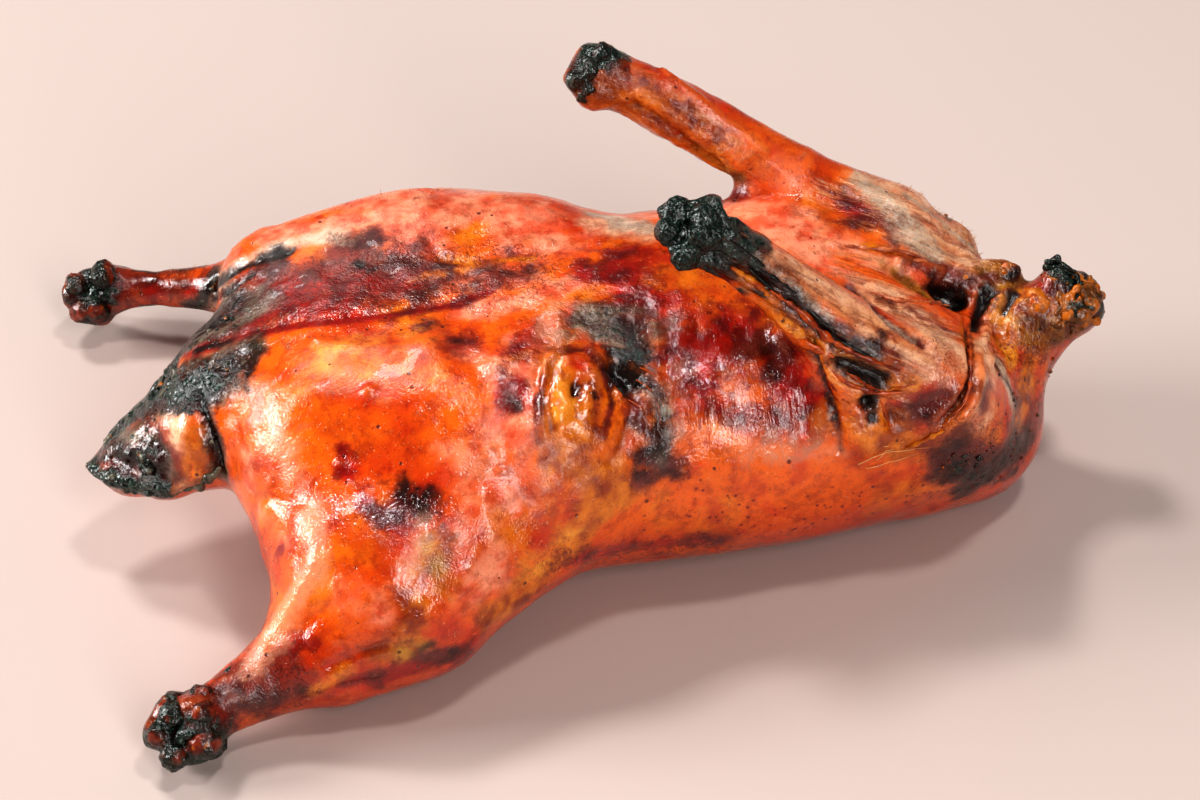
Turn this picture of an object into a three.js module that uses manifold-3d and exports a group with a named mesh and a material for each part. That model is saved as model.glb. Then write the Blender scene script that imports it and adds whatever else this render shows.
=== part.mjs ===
// A whole barbecued duck without head, feet and wing tips, lying on its breast with its back up.
// It is one piece of meat and skin, so it is one closed solid. Sizes are in millimetres.
// While it is shaped, +X runs from the tail to the neck, +Y to the duck's left and +Z up, and it
// lies on z = 0. At the end the group is moved so that the origin is at the bottom centre.
import * as THREE from "three";
import { MarchingCubes } from "three/addons/objects/MarchingCubes.js";
import { mergeVertices } from "three/addons/utils/BufferGeometryUtils.js";
import Module from "manifold-3d";

const wasm = await Module();
wasm.setup();

// The mesh has coarse cells on the trunk and fine ones on the wings, ankles, tail and neck.
const COARSE_CELL = 7.6;
const FINE_CELL = 3.7;
const GRID = {
  x: { from: -206, coarseFrom: -120, coarseTo: 104 },
  y: { from: -146, coarseFrom: -78, coarseTo: 80 },
  z: { from: -20, coarseFrom: 20, coarseTo: 92 },
};
const FADE = 30;
const GRID_LINES = 76;
const MOST_TRIANGLES = 60000;
const RELAX_ROUNDS = 3;
// No grid value is nearer to the surface than this, which keeps sliver triangles out.
const CLEAR = 0.1 * FINE_CELL;
// The slope of the distance is felt over this length, and never taken as flatter than the least.
const PROBE = 0.05;
const LEAST_STEEPNESS = 0.3;

// The slab under z = 0 that takes off what the duck's weight presses flat.
const SLAB = 500;

// How softly the skin bridges from one form to the next.
const SOFT = 16;
const FIRM = 7;
const CRISP = 3;

// The trunk's cross-sections: [x, middle y, bottom z, top z, half width].
const TRUNK = [
  [-142, 0, 40, 70, 16],
  [-126, 0, 26, 86, 34],
  [-100, 0, 8, 96, 52],
  [-60, 0, -3, 98, 66],
  [-10, 0, -4, 100, 70],
  [40, 0, -4, 101, 69],
  [80, 0, -3, 94, 64],
  [112, 0, 1, 84, 54],
  [138, 0, 8, 74, 40],
  [154, 0, 20, 64, 24],
];
const TRUNK_SQUARENESS = 2.2;

// Muscles, bones and folds of skin as runs of balls: [x, y, z, radius] at each station.
const FORMS = {
  nearHip: { blend: SOFT, run: [[-98, -34, 68, 24], [-62, -40, 70, 29], [-24, -44, 66, 31]] },
  farHip: { blend: SOFT, run: [[-106, 40, 72, 25], [-66, 44, 74, 30], [-22, 44, 68, 30]] },
  nearThigh: { blend: SOFT, run: [[-24, -48, 54, 30], [-52, -62, 44, 34], [-78, -77, 36, 34]] },
  nearRump: { blend: SOFT, run: [[-92, -68, 42, 28], [-102, -40, 52, 25]] },
  farThigh: { blend: SOFT, run: [[-8, 58, 44, 30], [-44, 64, 46, 38], [-82, 78, 38, 32]] },
  nearDrumstick: {
    blend: FIRM,
    run: [
      [-78, -78, 34, 32], [-102, -89, 24, 23], [-124, -98, 17, 13], [-139, -106, 15, 9.5],
      [-150, -113, 14, 10],
    ],
  },
  farDrumstick: {
    blend: FIRM,
    run: [
      [-82, 78, 38, 30], [-110, 96, 31, 19], [-134, 107, 26, 9.5], [-156, 115, 22, 7],
      [-172, 118, 22, 9],
    ],
  },
  tail: {
    blend: FIRM,
    run: [
      [-128, -4, 62, 23], [-140, -7, 54, 20], [-152, -8, 47, 16.5], [-165, -7, 41, 11.5],
      [-178, -4, 37, 4],
    ],
    wide: 1.4,
  },
  nearShoulder: { blend: SOFT, run: [[88, -34, 62, 26], [116, -36, 56, 26]] },
  farShoulder: { blend: SOFT, run: [[70, 34, 70, 26], [112, 36, 64, 26], [130, 36, 64, 18]] },
  crop: { blend: SOFT, run: [[120, -14, 29, 30], [134, -16, 27, 26]] },
  neckSkin: { blend: FIRM, run: [[148, -4, 58, 17], [137, -12, 44, 23]] },
  neck: { blend: FIRM, run: [[144, 0, 46, 22], [156, 0, 56, 16], [165, 0, 66, 12], [170, 0, 68, 10]] },
  neckSpike: { blend: CRISP, run: [[168, 2, 74, 8], [165, 1, 89, 2.5]] },
  neckLumps: { blend: CRISP, run: [[136, 14, 72, 8], [150, 13, 73, 7]] },
  tailLump: { blend: CRISP, run: [[-141, -22, 62, 11], [-144, -20, 62, 10]] },
  hipKnob: { blend: FIRM, run: [[-18, -50, 84, 13], [-12, -54, 78, 12]] },
  nearWing: {
    blend: FIRM,
    run: [[112, -46, 72, 20], [90, -44, 89, 14.5], [59, -36, 115, 11], [39, -33, 133, 10]],
  },
  nearWingWeb: { blend: FIRM, run: [[66, -40, 106, 8], [80, -52, 88, 9], [84, -58, 70, 9]] },
  farWing: {
    blend: FIRM,
    run: [[112, 44, 74, 20], [89, 50, 89, 14], [64, 56, 107, 11], [40, 64, 120, 11.5], [22, 71, 129, 10]],
  },
};

// Burnt crusts on the bone ends: [x, y, z, reach, knob radius, number of knobs].
const ENDS = {
  nearAnkle: [-152, -115, 14.5, 9, 5.5, 11],
  farAnkle: [-180, 119, 19, 8.5, 5.5, 11],
  nearWingTip: [30, -32, 138, 9.5, 6, 12],
  farWingTip: [11, 74, 132, 8.5, 5.5, 11],
  neckEnd: [173, 0, 68, 8, 5.5, 11],
};

// Hollows: the neck opening, the slit beside it, the pocket under the near wing and the tail's cup.
const HOLLOWS = {
  neckHole: [[118, 1, 88, 6], [130, -1, 76, 7]],
  neckSlit: [[139, -5, 80, 3.5], [141, -12, 68, 3.5]],
  wingPocket: [[86, -62, 84, 4], [90, -54, 76, 4]],
  tailCup: [[-156, -39, 70, 18], [-166, -34, 62, 14]],
};

const softMin = (a, b, reach) => {
  const h = Math.max(reach - Math.abs(a - b), 0) / reach;
  return Math.min(a, b) - (h * h * reach) / 4;
};

// The distance from a point to a run of balls joined by cones.
function toRun(x, y, z, run, wide = 1) {
  let best = Infinity;
  for (let i = 0; i + 1 < run.length; i++) {
    const [ax, ay, az, ar] = run[i];
    const [bx, by, bz, br] = run[i + 1];
    const [dx, dy, dz] = [bx - ax, by - ay, bz - az];
    const reached = (x - ax) * dx + (y - ay) * dy + (z - az) * dz;
    const t = THREE.MathUtils.clamp(reached / (dx * dx + dy * dy + dz * dz), 0, 1);
    const away = Math.hypot(x - ax - t * dx, (y - ay - t * dy) / wide, z - az - t * dz);
    best = Math.min(best, away - ar - t * (br - ar));
  }
  return best;
}

// The trunk's section at x, eased between its stations.
function trunkSection(x) {
  const next = TRUNK.findIndex((station) => station[0] > x);
  const i = next < 1 ? (next === 0 ? 1 : TRUNK.length - 1) : next;
  const [a, b] = [TRUNK[i - 1], TRUNK[i]];
  const before = TRUNK[Math.max(i - 2, 0)];
  const after = TRUNK[Math.min(i + 1, TRUNK.length - 1)];
  const t = THREE.MathUtils.clamp((x - a[0]) / (b[0] - a[0]), 0, 1);
  return [1, 2, 3, 4].map((k) => {
    const [slopeA, slopeB] = [(b[k] - before[k]) / 2, (after[k] - a[k]) / 2];
    const square = 3 * (b[k] - a[k]) - 2 * slopeA - slopeB;
    const cube = 2 * (a[k] - b[k]) + slopeA + slopeB;
    return a[k] + t * slopeA + t * t * square + t * t * t * cube;
  });
}

function toTrunk(x, y, z) {
  const [middle, bottom, top, half] = trunkSection(x);
  const tall = (top - bottom) / 2;
  const u = Math.abs(y - middle) / half;
  const v = Math.abs(z - (top + bottom) / 2) / tall;
  const size = (u ** TRUNK_SQUARENESS + v ** TRUNK_SQUARENESS) ** (1 / TRUNK_SQUARENESS);
  const across = (size - 1) * Math.min(half, tall);
  const past = Math.max(TRUNK[0][0] - x, x - TRUNK.at(-1)[0], 0);
  return past > 0 ? Math.hypot(Math.max(across, 0), past) : across;
}

// Knobs spread by the golden angle round one end, no two alike.
function knobs([cx, cy, cz, reach, radius, count]) {
  const turn = Math.PI * (3 - Math.sqrt(5));
  return Array.from({ length: count }, (_, i) => {
    const up = 1 - (2 * i + 1) / count;
    const out = reach * Math.sqrt(1 - up * up);
    const vary = 0.8 + 0.4 * Math.abs(Math.sin(13 * (i + 1) + cx));
    return [cx + out * Math.cos(i * turn), cy + out * Math.sin(i * turn), cz + reach * up, radius * vary];
  });
}
const KNOBS = Object.values(ENDS).flatMap(knobs);

function toDuck(x, y, z) {
  let d = toTrunk(x, y, z);
  for (const { run, blend, wide } of Object.values(FORMS)) d = softMin(d, toRun(x, y, z, run, wide), blend);
  for (const [kx, ky, kz, r] of KNOBS) d = softMin(d, Math.hypot(x - kx, y - ky, z - kz) - r, CRISP);
  for (const run of Object.values(HOLLOWS)) d = -softMin(-d, toRun(x, y, z, run), CRISP);
  return d;
}

// Grid lines along one axis, with cells that grow smoothly from fine to coarse and back.
function gridLines({ from, coarseFrom, coarseTo }) {
  const lines = [from];
  while (lines.length < GRID_LINES) {
    const at = lines.at(-1);
    const outside = Math.max(coarseFrom - at, at - coarseTo, 0);
    const fineness = THREE.MathUtils.smoothstep(outside, 0, FADE);
    lines.push(at + THREE.MathUtils.lerp(COARSE_CELL, FINE_CELL, fineness));
  }
  return lines;
}

// A place counted in grid lines, turned into millimetres.
const between = (lines, place) => {
  const i = Math.min(Math.floor(place), lines.length - 2);
  return THREE.MathUtils.lerp(lines[i], lines[i + 1], place - i);
};

// The zero surface of the distance, closed and with its vertices merged.
function meshOf(distance) {
  const [xs, ys, zs] = [GRID.x, GRID.y, GRID.z].map(gridLines);
  const cubes = new MarchingCubes(GRID_LINES, new THREE.Material(), false, false, MOST_TRIANGLES);
  let index = 0;
  for (const z of zs) {
    for (const y of ys) {
      for (const x of xs) {
        const d = distance(x, y, z);
        cubes.field[index] = Math.abs(d) < CLEAR ? -Math.sign(d) * CLEAR : -d;
        index += 1;
      }
    }
  }
  cubes.isolation = 0;
  cubes.update();
  const soup = new THREE.BufferGeometry();
  const corners = cubes.positionArray.slice(0, cubes.count * 3);
  soup.setAttribute("position", new THREE.BufferAttribute(corners, 3));
  const half = GRID_LINES / 2;
  const merged = mergeVertices(soup.translate(1, 1, 1).scale(half, half, half), 1e-3);
  const position = merged.attributes.position;
  for (let i = 0; i < position.count; i++) {
    const [x, y, z] = [position.getX(i), position.getY(i), position.getZ(i)];
    position.setXYZ(i, between(xs, x), between(ys, y), between(zs, z));
  }
  return merged;
}

// Evens the triangles out: each vertex moves halfway to its neighbours' middle, then back to the surface.
function relax(geometry, distance) {
  const { position } = geometry.attributes;
  const { array: corners } = geometry.index;
  const sums = new Float32Array(position.count * 4);
  for (let i = 0; i < corners.length; i++) {
    const next = i % 3 === 2 ? i - 2 : i + 1;
    const [from, to] = [corners[i], corners[next]];
    sums[from * 4] += position.getX(to);
    sums[from * 4 + 1] += position.getY(to);
    sums[from * 4 + 2] += position.getZ(to);
    sums[from * 4 + 3] += 1;
  }
  for (let i = 0; i < position.count; i++) {
    const share = 0.5 / sums[i * 4 + 3];
    const [x, y, z] = [position.getX(i), position.getY(i), position.getZ(i)]
      .map((value, k) => value / 2 + sums[i * 4 + k] * share);
    const d = distance(x, y, z);
    const [slopeX, slopeY, slopeZ] = [
      (distance(x + PROBE, y, z) - d) / PROBE,
      (distance(x, y + PROBE, z) - d) / PROBE,
      (distance(x, y, z + PROBE) - d) / PROBE,
    ];
    const steepness = Math.max(slopeX ** 2 + slopeY ** 2 + slopeZ ** 2, LEAST_STEEPNESS);
    const back = THREE.MathUtils.clamp(d, -FINE_CELL / 2, FINE_CELL / 2) / steepness;
    position.setXYZ(i, x - slopeX * back, y - slopeY * back, z - slopeZ * back);
  }
}

const toSolid = (geometry) => new wasm.Manifold(new wasm.Mesh({
  numProp: 3,
  vertProperties: new Float32Array(geometry.attributes.position.array),
  triVerts: new Uint32Array(geometry.index.array),
}));

function bare(geometry) {
  geometry.deleteAttribute("normal");
  geometry.deleteAttribute("uv");
  return mergeVertices(geometry);
}

// The duck, flat where it lies.
const skinMesh = meshOf(toDuck);
for (let i = 0; i < RELAX_ROUNDS; i++) relax(skinMesh, toDuck);
const below = bare(new THREE.BoxGeometry(SLAB, SLAB, SLAB).translate(0, 0, -SLAB / 2));
const duck = toSolid(skinMesh).subtract(toSolid(below));

const made = duck.getMesh();
const geometry = new THREE.BufferGeometry();
geometry.setAttribute("position", new THREE.BufferAttribute(made.vertProperties, 3));
geometry.setIndex(new THREE.BufferAttribute(made.triVerts, 1));
const roast = new THREE.MeshStandardMaterial({ color: 0xb8480f, roughness: 0.35, metalness: 0 });
const mesh = new THREE.Mesh(geometry, roast);
mesh.name = "roast_duck";
const group = new THREE.Group();
group.add(mesh);

// The origin goes to the middle of the duck's length and width, at the height that it lies on.
geometry.computeBoundingBox();
const middle = geometry.boundingBox.getCenter(new THREE.Vector3());
group.position.set(-middle.x, -middle.y, 0);
export default group;
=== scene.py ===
import itertools
import math

import bmesh
import bpy
import numpy as np
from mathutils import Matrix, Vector
from mathutils.bvhtree import BVHTree


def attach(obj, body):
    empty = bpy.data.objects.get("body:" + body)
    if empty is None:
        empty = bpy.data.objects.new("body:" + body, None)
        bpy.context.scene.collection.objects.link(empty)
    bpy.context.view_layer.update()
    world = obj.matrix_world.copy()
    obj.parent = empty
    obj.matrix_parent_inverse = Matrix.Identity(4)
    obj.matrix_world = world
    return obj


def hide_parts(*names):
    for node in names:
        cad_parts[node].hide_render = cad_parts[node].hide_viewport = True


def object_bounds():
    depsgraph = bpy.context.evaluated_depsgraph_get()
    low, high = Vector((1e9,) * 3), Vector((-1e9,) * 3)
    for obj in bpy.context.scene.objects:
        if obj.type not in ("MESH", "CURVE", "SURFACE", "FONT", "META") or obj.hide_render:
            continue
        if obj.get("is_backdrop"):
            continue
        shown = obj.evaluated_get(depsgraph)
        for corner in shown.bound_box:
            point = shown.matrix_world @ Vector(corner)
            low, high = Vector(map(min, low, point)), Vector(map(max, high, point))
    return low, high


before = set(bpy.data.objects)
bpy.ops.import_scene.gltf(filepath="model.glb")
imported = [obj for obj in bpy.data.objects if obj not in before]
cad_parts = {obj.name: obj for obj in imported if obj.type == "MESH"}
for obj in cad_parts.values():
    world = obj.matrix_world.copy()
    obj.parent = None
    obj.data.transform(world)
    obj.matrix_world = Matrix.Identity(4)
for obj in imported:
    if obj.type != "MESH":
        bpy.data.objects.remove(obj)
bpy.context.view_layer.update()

# The view: one camera looks down on the duck's back from its right side, with a long lens, and
# shows plain colours with some added contrast.
VIEW_AZIMUTH = math.radians(-8)
VIEW_ELEVATION = math.radians(40)
VIEW_DISTANCE = 1.0
VIEW_LENS = 85.0
VIEW_SENSOR = 36.0
VIEW_TARGET = Vector((0.0047, -0.01435, 0.053))
VIEW_EXPOSURE = 0.02
PICTURE_WIDTH, PICTURE_HEIGHT = 1200, 800


def put_in_scene(name, data):
    """A new object in the scene, at the origin."""
    thing = bpy.data.objects.new(name, data)
    bpy.context.scene.collection.objects.link(thing)
    return thing


away = Vector((
    math.sin(VIEW_AZIMUTH) * math.cos(VIEW_ELEVATION),
    -math.cos(VIEW_AZIMUTH) * math.cos(VIEW_ELEVATION),
    math.sin(VIEW_ELEVATION),
))
camera_data = bpy.data.cameras.new("camera")
camera_data.lens = VIEW_LENS
camera_data.sensor_width = VIEW_SENSOR
camera = put_in_scene("camera", camera_data)
camera.location = VIEW_TARGET + away * VIEW_DISTANCE
camera.rotation_euler = (-away).to_track_quat("-Z", "Y").to_euler()
bpy.context.scene.camera = camera
bpy.context.scene.view_settings.view_transform = "Standard"
bpy.context.scene.view_settings.look = "High Contrast"
bpy.context.scene.view_settings.exposure = VIEW_EXPOSURE


def sight_line(px, py):
    """The direction from the camera through a pixel of the 1200 by 800 picture."""
    right = away.cross(Vector((0, 0, 1))).normalized() * -1
    up = away.cross(right)
    scale = VIEW_SENSOR / VIEW_LENS / PICTURE_WIDTH
    aside = (px - PICTURE_WIDTH / 2) * scale
    above = (PICTURE_HEIGHT / 2 - py) * scale
    return (right * aside + up * above - away).normalized()


# The light: a pale floor and four soft boxes, one beside the tail, two small ones above the
# back and a tall one in front of the wing, with an even fill from a pale sky.
FLOOR_HALF_WIDTH = 3.0
FLOOR_ROUGHNESS = 0.8
FLOOR_COLOUR = (0.57, 0.47, 0.43, 1.0)
SKY_COLOUR = (1.0, 0.97, 0.94, 1.0)
SKY_STRENGTH = 0.13
BOX_DISTANCE = 3.2
# Each box: where it lies as seen from the duck, its width and height in metres, and its watts.
SOFT_BOXES = {
    "light_tail": ((-0.88, 0.16, 0.38), 1.25, 1.35, 78.0),
    "light_above": ((-0.27, 0.42, 0.87), 0.52, 0.52, 34.0),
    "light_high": ((0.20, -0.12, 0.97), 0.34, 0.34, 19.0),
    "light_front": ((0.25, -0.80, 0.54), 0.55, 2.1, 42.0),
}

for name, (direction, wide, tall, watts) in SOFT_BOXES.items():
    lamp = bpy.data.lights.new(name, "AREA")
    lamp.shape = "RECTANGLE"
    lamp.size = wide
    lamp.size_y = tall
    lamp.energy = watts
    towards = Vector(direction).normalized()
    light = put_in_scene(name, lamp)
    light.location = VIEW_TARGET + towards * BOX_DISTANCE
    light.rotation_euler = towards.to_track_quat("Z", "Y").to_euler()

sky = bpy.data.worlds.new("sky")
sky.use_nodes = True
sky.node_tree.nodes["Background"].inputs["Color"].default_value = SKY_COLOUR
sky.node_tree.nodes["Background"].inputs["Strength"].default_value = SKY_STRENGTH
bpy.context.scene.world = sky

floor_form = bmesh.new()
bmesh.ops.create_grid(floor_form, x_segments=1, y_segments=1, size=FLOOR_HALF_WIDTH)
floor_mesh = bpy.data.meshes.new("floor")
floor_form.to_mesh(floor_mesh)
floor_form.free()
floor = put_in_scene("floor", floor_mesh)
floor_material = bpy.data.materials.new("floor_paint")
floor_material.use_nodes = True
floor_shader = floor_material.node_tree.nodes["Principled BSDF"]
floor_shader.inputs["Base Color"].default_value = FLOOR_COLOUR
floor_shader.inputs["Roughness"].default_value = FLOOR_ROUGHNESS
floor_mesh.materials.append(floor_material)
floor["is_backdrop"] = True

# The duck's skin: one glazed, roasted skin over back, rump, legs, wings and neck, orange where
# the fat ran, crinkled on the back, with red painted shade in the folds, painted light on the
# crests and black on the thin ends. It is the rounded solid, pressed into creases and blisters
# and stained place by place.
MM = 0.001
SKIN_CELL = 0.00154
SKIN_SMOOTHINGS = 8
SMOOTHING = 0.5
WELD_DISTANCE = 1e-6
SPINE_Y = -0.0023


def melt(piece, cell, smoothings):
    """A piece made one even skin of small cells and smoothed, with its modifiers used up."""
    remesh = piece.modifiers.new("remesh", "REMESH")
    remesh.mode = "VOXEL"
    remesh.voxel_size = cell
    smooth = piece.modifiers.new("smooth", "SMOOTH")
    smooth.factor = SMOOTHING
    smooth.iterations = smoothings
    piece.data = bpy.data.meshes.new_from_object(
        piece.evaluated_get(bpy.context.evaluated_depsgraph_get()))
    piece.modifiers.clear()
    piece.data.shade_smooth()


form = bmesh.new()
form.from_mesh(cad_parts["roast_duck"].data)
bmesh.ops.remove_doubles(form, verts=form.verts, dist=WELD_DISTANCE)
base_mesh = bpy.data.meshes.new("duck_skin")
form.to_mesh(base_mesh)
form.free()
skin = put_in_scene("duck_skin", base_mesh)
rounding = skin.modifiers.new("rounding", "SUBSURF")
rounding.levels = rounding.render_levels = 1
melt(skin, SKIN_CELL, SKIN_SMOOTHINGS)
skin_mesh = skin.data


def coordinates(mesh):
    """The places of a mesh's points, as rows of x, y and z."""
    flat = np.empty(len(mesh.vertices) * 3, dtype=np.float32)
    mesh.vertices.foreach_get("co", flat)
    return flat.reshape(-1, 3).astype(float)


def directions(mesh):
    """The outward directions of a mesh's points."""
    flat = np.empty(len(mesh.vertices) * 3, dtype=np.float32)
    mesh.vertex_normals.foreach_get("vector", flat)
    return flat.reshape(-1, 3).astype(float)


def move_points(mesh, points):
    """A mesh's points put where rows of x, y and z say."""
    mesh.vertices.foreach_set("co", points.astype(np.float32).ravel())
    mesh.update()


NOISE_LENGTH = 8192
NOISE_SIZES = 4
NOISE_FADE = 0.55
SEED_SHIFT = 17.3
SEED_KEY = 977
CORNER_KEYS = np.array((1, 73, 1291))
random_values = np.random.default_rng(21).random(NOISE_LENGTH) * 2 - 1


def unevenness(points, cell, seed):
    """Smooth seeded bumps from -1 to 1, about one for every cell."""
    grid = points / cell + seed * SEED_SHIFT
    corner = np.floor(grid).astype(int)
    part = grid - corner
    part = part * part * (3 - 2 * part)
    total = np.zeros(len(points))
    for step in itertools.product((0, 1), repeat=3):
        key = (corner + step) @ CORNER_KEYS + seed * SEED_KEY
        weight = np.prod(np.where(step, part, 1 - part), axis=1)
        total += weight * random_values[key % NOISE_LENGTH]
    return total


def cloudiness(points, cell, seed):
    """Unevenness in four sizes, each half the last and weaker."""
    return sum(unevenness(points, cell / 2 ** step, seed + step) * NOISE_FADE ** step
               for step in range(NOISE_SIZES))


def smooth_step(values, low, high):
    """A smooth rise from 0 to 1 between two values."""
    share = np.clip((values - low) / (high - low), 0, 1)
    return share * share * (3 - 2 * share)


places = coordinates(skin_mesh)
outward = directions(skin_mesh)
skin_tree = BVHTree.FromPolygons(places.tolist(), [tuple(face.vertices) for face in skin_mesh.polygons])
towards_eye = np.array(away)
TRAIL_STEP = 4
LONGEST_GAP = 12 * MM
OUT_OF_REACH = 9
LEAST_ALIKE = 0.25


def trail(*pixels):
    """A line through pixels laid on the skin, as its points and the directions they face."""
    stops = [pixels[0]]
    for (x0, y0), (x1, y1) in zip(pixels, pixels[1:]):
        steps = math.ceil(math.hypot(x1 - x0, y1 - y0) / TRAIL_STEP)
        for step in range(1, steps + 1):
            stops.append((x0 + (x1 - x0) * step / steps, y0 + (y1 - y0) * step / steps))
    spots, facings = [], []
    for px, py in stops:
        spot, facing, _, _ = skin_tree.ray_cast(camera.location, sight_line(px, py))
        if spot:
            spots.append(spot)
            facings.append(facing)
    return np.array(spots), np.array(facings)


def across_spine(place):
    """The mirrored place on the far side of the spine."""
    return (place[0], 2 * SPINE_Y - place[1], place[2])


def mirrored(line, shift):
    """The same line on the far side of the spine, moved along the duck a little."""
    spots, facings = [], []
    for place in line[0]:
        x, y, z = across_spine(place)
        spot, facing, _, _ = skin_tree.find_nearest((x + shift, y, z))
        spots.append(spot)
        facings.append(facing)
    return np.array(spots), np.array(facings)


def distance_to(line, reach):
    """How far each point of the skin is from a line, for points that face the same way."""
    spots, facings = line
    far = np.full(len(places), OUT_OF_REACH * reach)
    if not len(spots):
        return far
    beside = np.all((places > spots.min(0) - 2 * reach) & (places < spots.max(0) + 2 * reach), axis=1)
    near = np.nonzero(beside)[0]
    best = far[near]
    for start, end, facing in zip(spots, list(spots[1:]) + [spots[-1]], facings):
        along = end - start
        length = along @ along
        if length > LONGEST_GAP ** 2:
            length = 0
        offset = places[near] - start
        share = np.clip(offset @ along / length, 0, 1) if length else np.zeros(len(near))
        gap = np.linalg.norm(offset - share[:, None] * along, axis=1)
        turned = np.clip(LEAST_ALIKE - outward[near] @ facing, 0, 1)
        best = np.minimum(best, gap + 2 * reach * turned)
    far[near] = best
    return far


# Creases pressed in and ridges raised: width and height in millimetres, then the line.
CREASES = {
    "plateau_edge": (1.8, -0.6, (205, 345), (250, 331), (300, 320), (350, 317), (400, 311), (445, 303),
            (485, 293)),
    "plateau_lip": (3.0, 0.6, (215, 352), (260, 340), (310, 331), (360, 327), (410, 321), (455, 313)),
    "far_hip_foot": (1.8, -0.8, (428, 238), (438, 258), (462, 262), (500, 256), (545, 249), (590, 246),
            (625, 247)),
    "far_hip_lip": (1.8, 0.7, (445, 252), (470, 255), (510, 248), (550, 241)),
    "gash": (2.4, -2.2, (213, 288), (232, 273), (255, 262), (288, 251)),
    "gash_second": (1.6, -1.4, (215, 300), (235, 288), (252, 275)),
    "rump_fold": (1.5, -2.6, (197, 398), (206, 420), (214, 445), (221, 470)),
    "rump_wrinkles": (1.6, -0.9, (200, 332), (222, 325), (246, 318)),
    "rump_wrinkles_low": (1.4, -0.8, (182, 352), (205, 340), (230, 332)),
    "leg_fold": (1.3, -1.1, (252, 496), (280, 500), (305, 505), (325, 512)),
    "leg_crest": (4.6, 1.1, (310, 520), (316, 550), (304, 585), (282, 615), (262, 650)),
    "leg_dent": (3.5, -1.2, (292, 632), (310, 620), (325, 612)),
    "thigh_fold": (4.0, -1.2, (500, 420), (505, 455), (520, 490)),
    "thigh_crest": (4.0, 1.1, (480, 500), (490, 535), (470, 565)),
    "flank_fold": (4.0, -1.0, (455, 330), (470, 355), (490, 385), (505, 415)),
    "flank_crest": (5.0, 1.2, (330, 345), (370, 350), (420, 345)),
    "knob_rim": (1.2, 1.8, (574, 346), (558, 352), (547, 366), (543, 388), (542, 412), (545, 436)),
    "knob_moat": (1.2, -1.6, (553, 362), (549, 385), (549, 410), (552, 432)),
    "knob_moat_outer": (1.6, -1.0, (566, 343), (548, 350), (538, 368), (535, 392), (535, 420)),
    "knob_loop": (1.6, 1.6, (556, 392), (553, 406), (560, 420), (566, 404), (562, 390)),
    "knob_hollow": (2.2, -2.8, (577, 382), (576, 392)),
    "knob_top": (2.4, 1.6, (585, 395), (588, 410)),
    "knob_far": (2.6, 1.6, (592, 375), (597, 395)),
    "knob_brow": (1.8, 1.4, (568, 360), (578, 358), (588, 366)),
    "knob_lower": (2.4, 0.9, (562, 440), (580, 446)),
    "hole_flap": (1.2, 2.2, (588, 347), (599, 357), (607, 370), (613, 384), (619, 395)),
    "hole": (4.6, -8.0, (620, 371), (627, 379)),
    "hole_fold": (2.2, -1.8, (634, 392), (630, 420), (622, 445), (612, 462)),
    "wing_groove": (1.6, -1.8, (722, 262), (760, 284), (790, 304), (815, 326), (838, 347)),
    "wing_groove_low": (1.5, -1.6, (735, 285), (775, 312), (812, 340), (835, 350)),
    "wing_strip": (1.6, 1.4, (728, 273), (768, 297), (805, 326), (842, 356)),
    "wing_strip_low": (1.4, 1.2, (775, 318), (805, 345), (835, 358), (875, 372), (905, 385)),
    "wing_slot": (2.4, -5.0, (838, 362), (860, 369), (884, 381)),
    "wing_back_groove": (2.0, -2.0, (845, 284), (870, 303), (895, 326), (925, 346)),
    "web_ridge": (1.5, 1.6, (822, 358), (834, 380), (846, 396), (866, 394)),
    "web_moat": (1.6, -3.0, (811, 344), (818, 364), (826, 388), (834, 412), (838, 436), (840, 452)),
    "web_hole": (1.9, -6.0, (867, 402)),
    "web_hole_small": (1.4, -4.0, (873, 416)),
    "web_folds": (1.2, 1.1, (846, 420), (858, 436), (872, 450)),
    "web_folds_second": (1.2, 1.1, (876, 420), (890, 436), (900, 450)),
    "web_folds_third": (1.1, 0.9, (838, 396), (852, 410), (866, 412)),
    "purple_dent": (4.0, -1.6, (925, 405), (945, 398)),
    "neck_crease": (1.3, -3.2, (968, 318), (970, 345), (972, 370), (969, 388), (960, 406), (942, 424)),
    "neck_crease_lip": (1.8, 1.4, (979, 345), (982, 375), (976, 400), (960, 420)),
    "neck_slit": (1.8, -5.0, (985, 295), (979, 310), (976, 328)),
    "neck_fold": (1.6, 2.0, (1008, 292), (995, 305), (987, 325), (984, 346), (990, 362)),
    "neck_pocket": (3.0, -2.6, (1001, 322), (1004, 345)),
    "neck_pocket_slit": (1.2, -2.4, (1012, 298), (1004, 312)),
    "neck_hole": (3.2, -7.0, (938, 294), (955, 300)),
    "neck_hollow": (3.4, -2.4, (900, 272), (914, 284)),
    "neck_brow": (2.2, 1.8, (900, 260), (925, 266), (948, 276), (966, 290)),
    "between_wings": (1.0, -0.6, (790, 205), (812, 222), (824, 244), (834, 250)),
    "shoulder_line": (1.1, -0.7, (828, 252), (860, 250), (900, 256)),
    "far_wing_ridge": (1.8, 2.0, (640, 92), (668, 110), (698, 132), (738, 158)),
    "far_wing_groove": (1.6, -2.0, (634, 104), (664, 122), (694, 146), (724, 168)),
    "far_wing_edge": (1.6, 1.8, (650, 62), (690, 92), (730, 125), (765, 152)),
    "wing_top_edge": (1.2, 1.0, (735, 236), (772, 262), (812, 293), (850, 322)),
    "knee_fold": (1.5, -1.4, (330, 668), (355, 655), (385, 645), (410, 648)),
    "knee_fold_low": (1.6, -1.4, (305, 700), (340, 688), (380, 680)),
    "tail_rim": (2.0, 2.6, (92, 466), (112, 480), (140, 488), (168, 490), (198, 480)),
    "tail_dish": (3.0, -2.6, (112, 462), (138, 468), (162, 474)),
}
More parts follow.
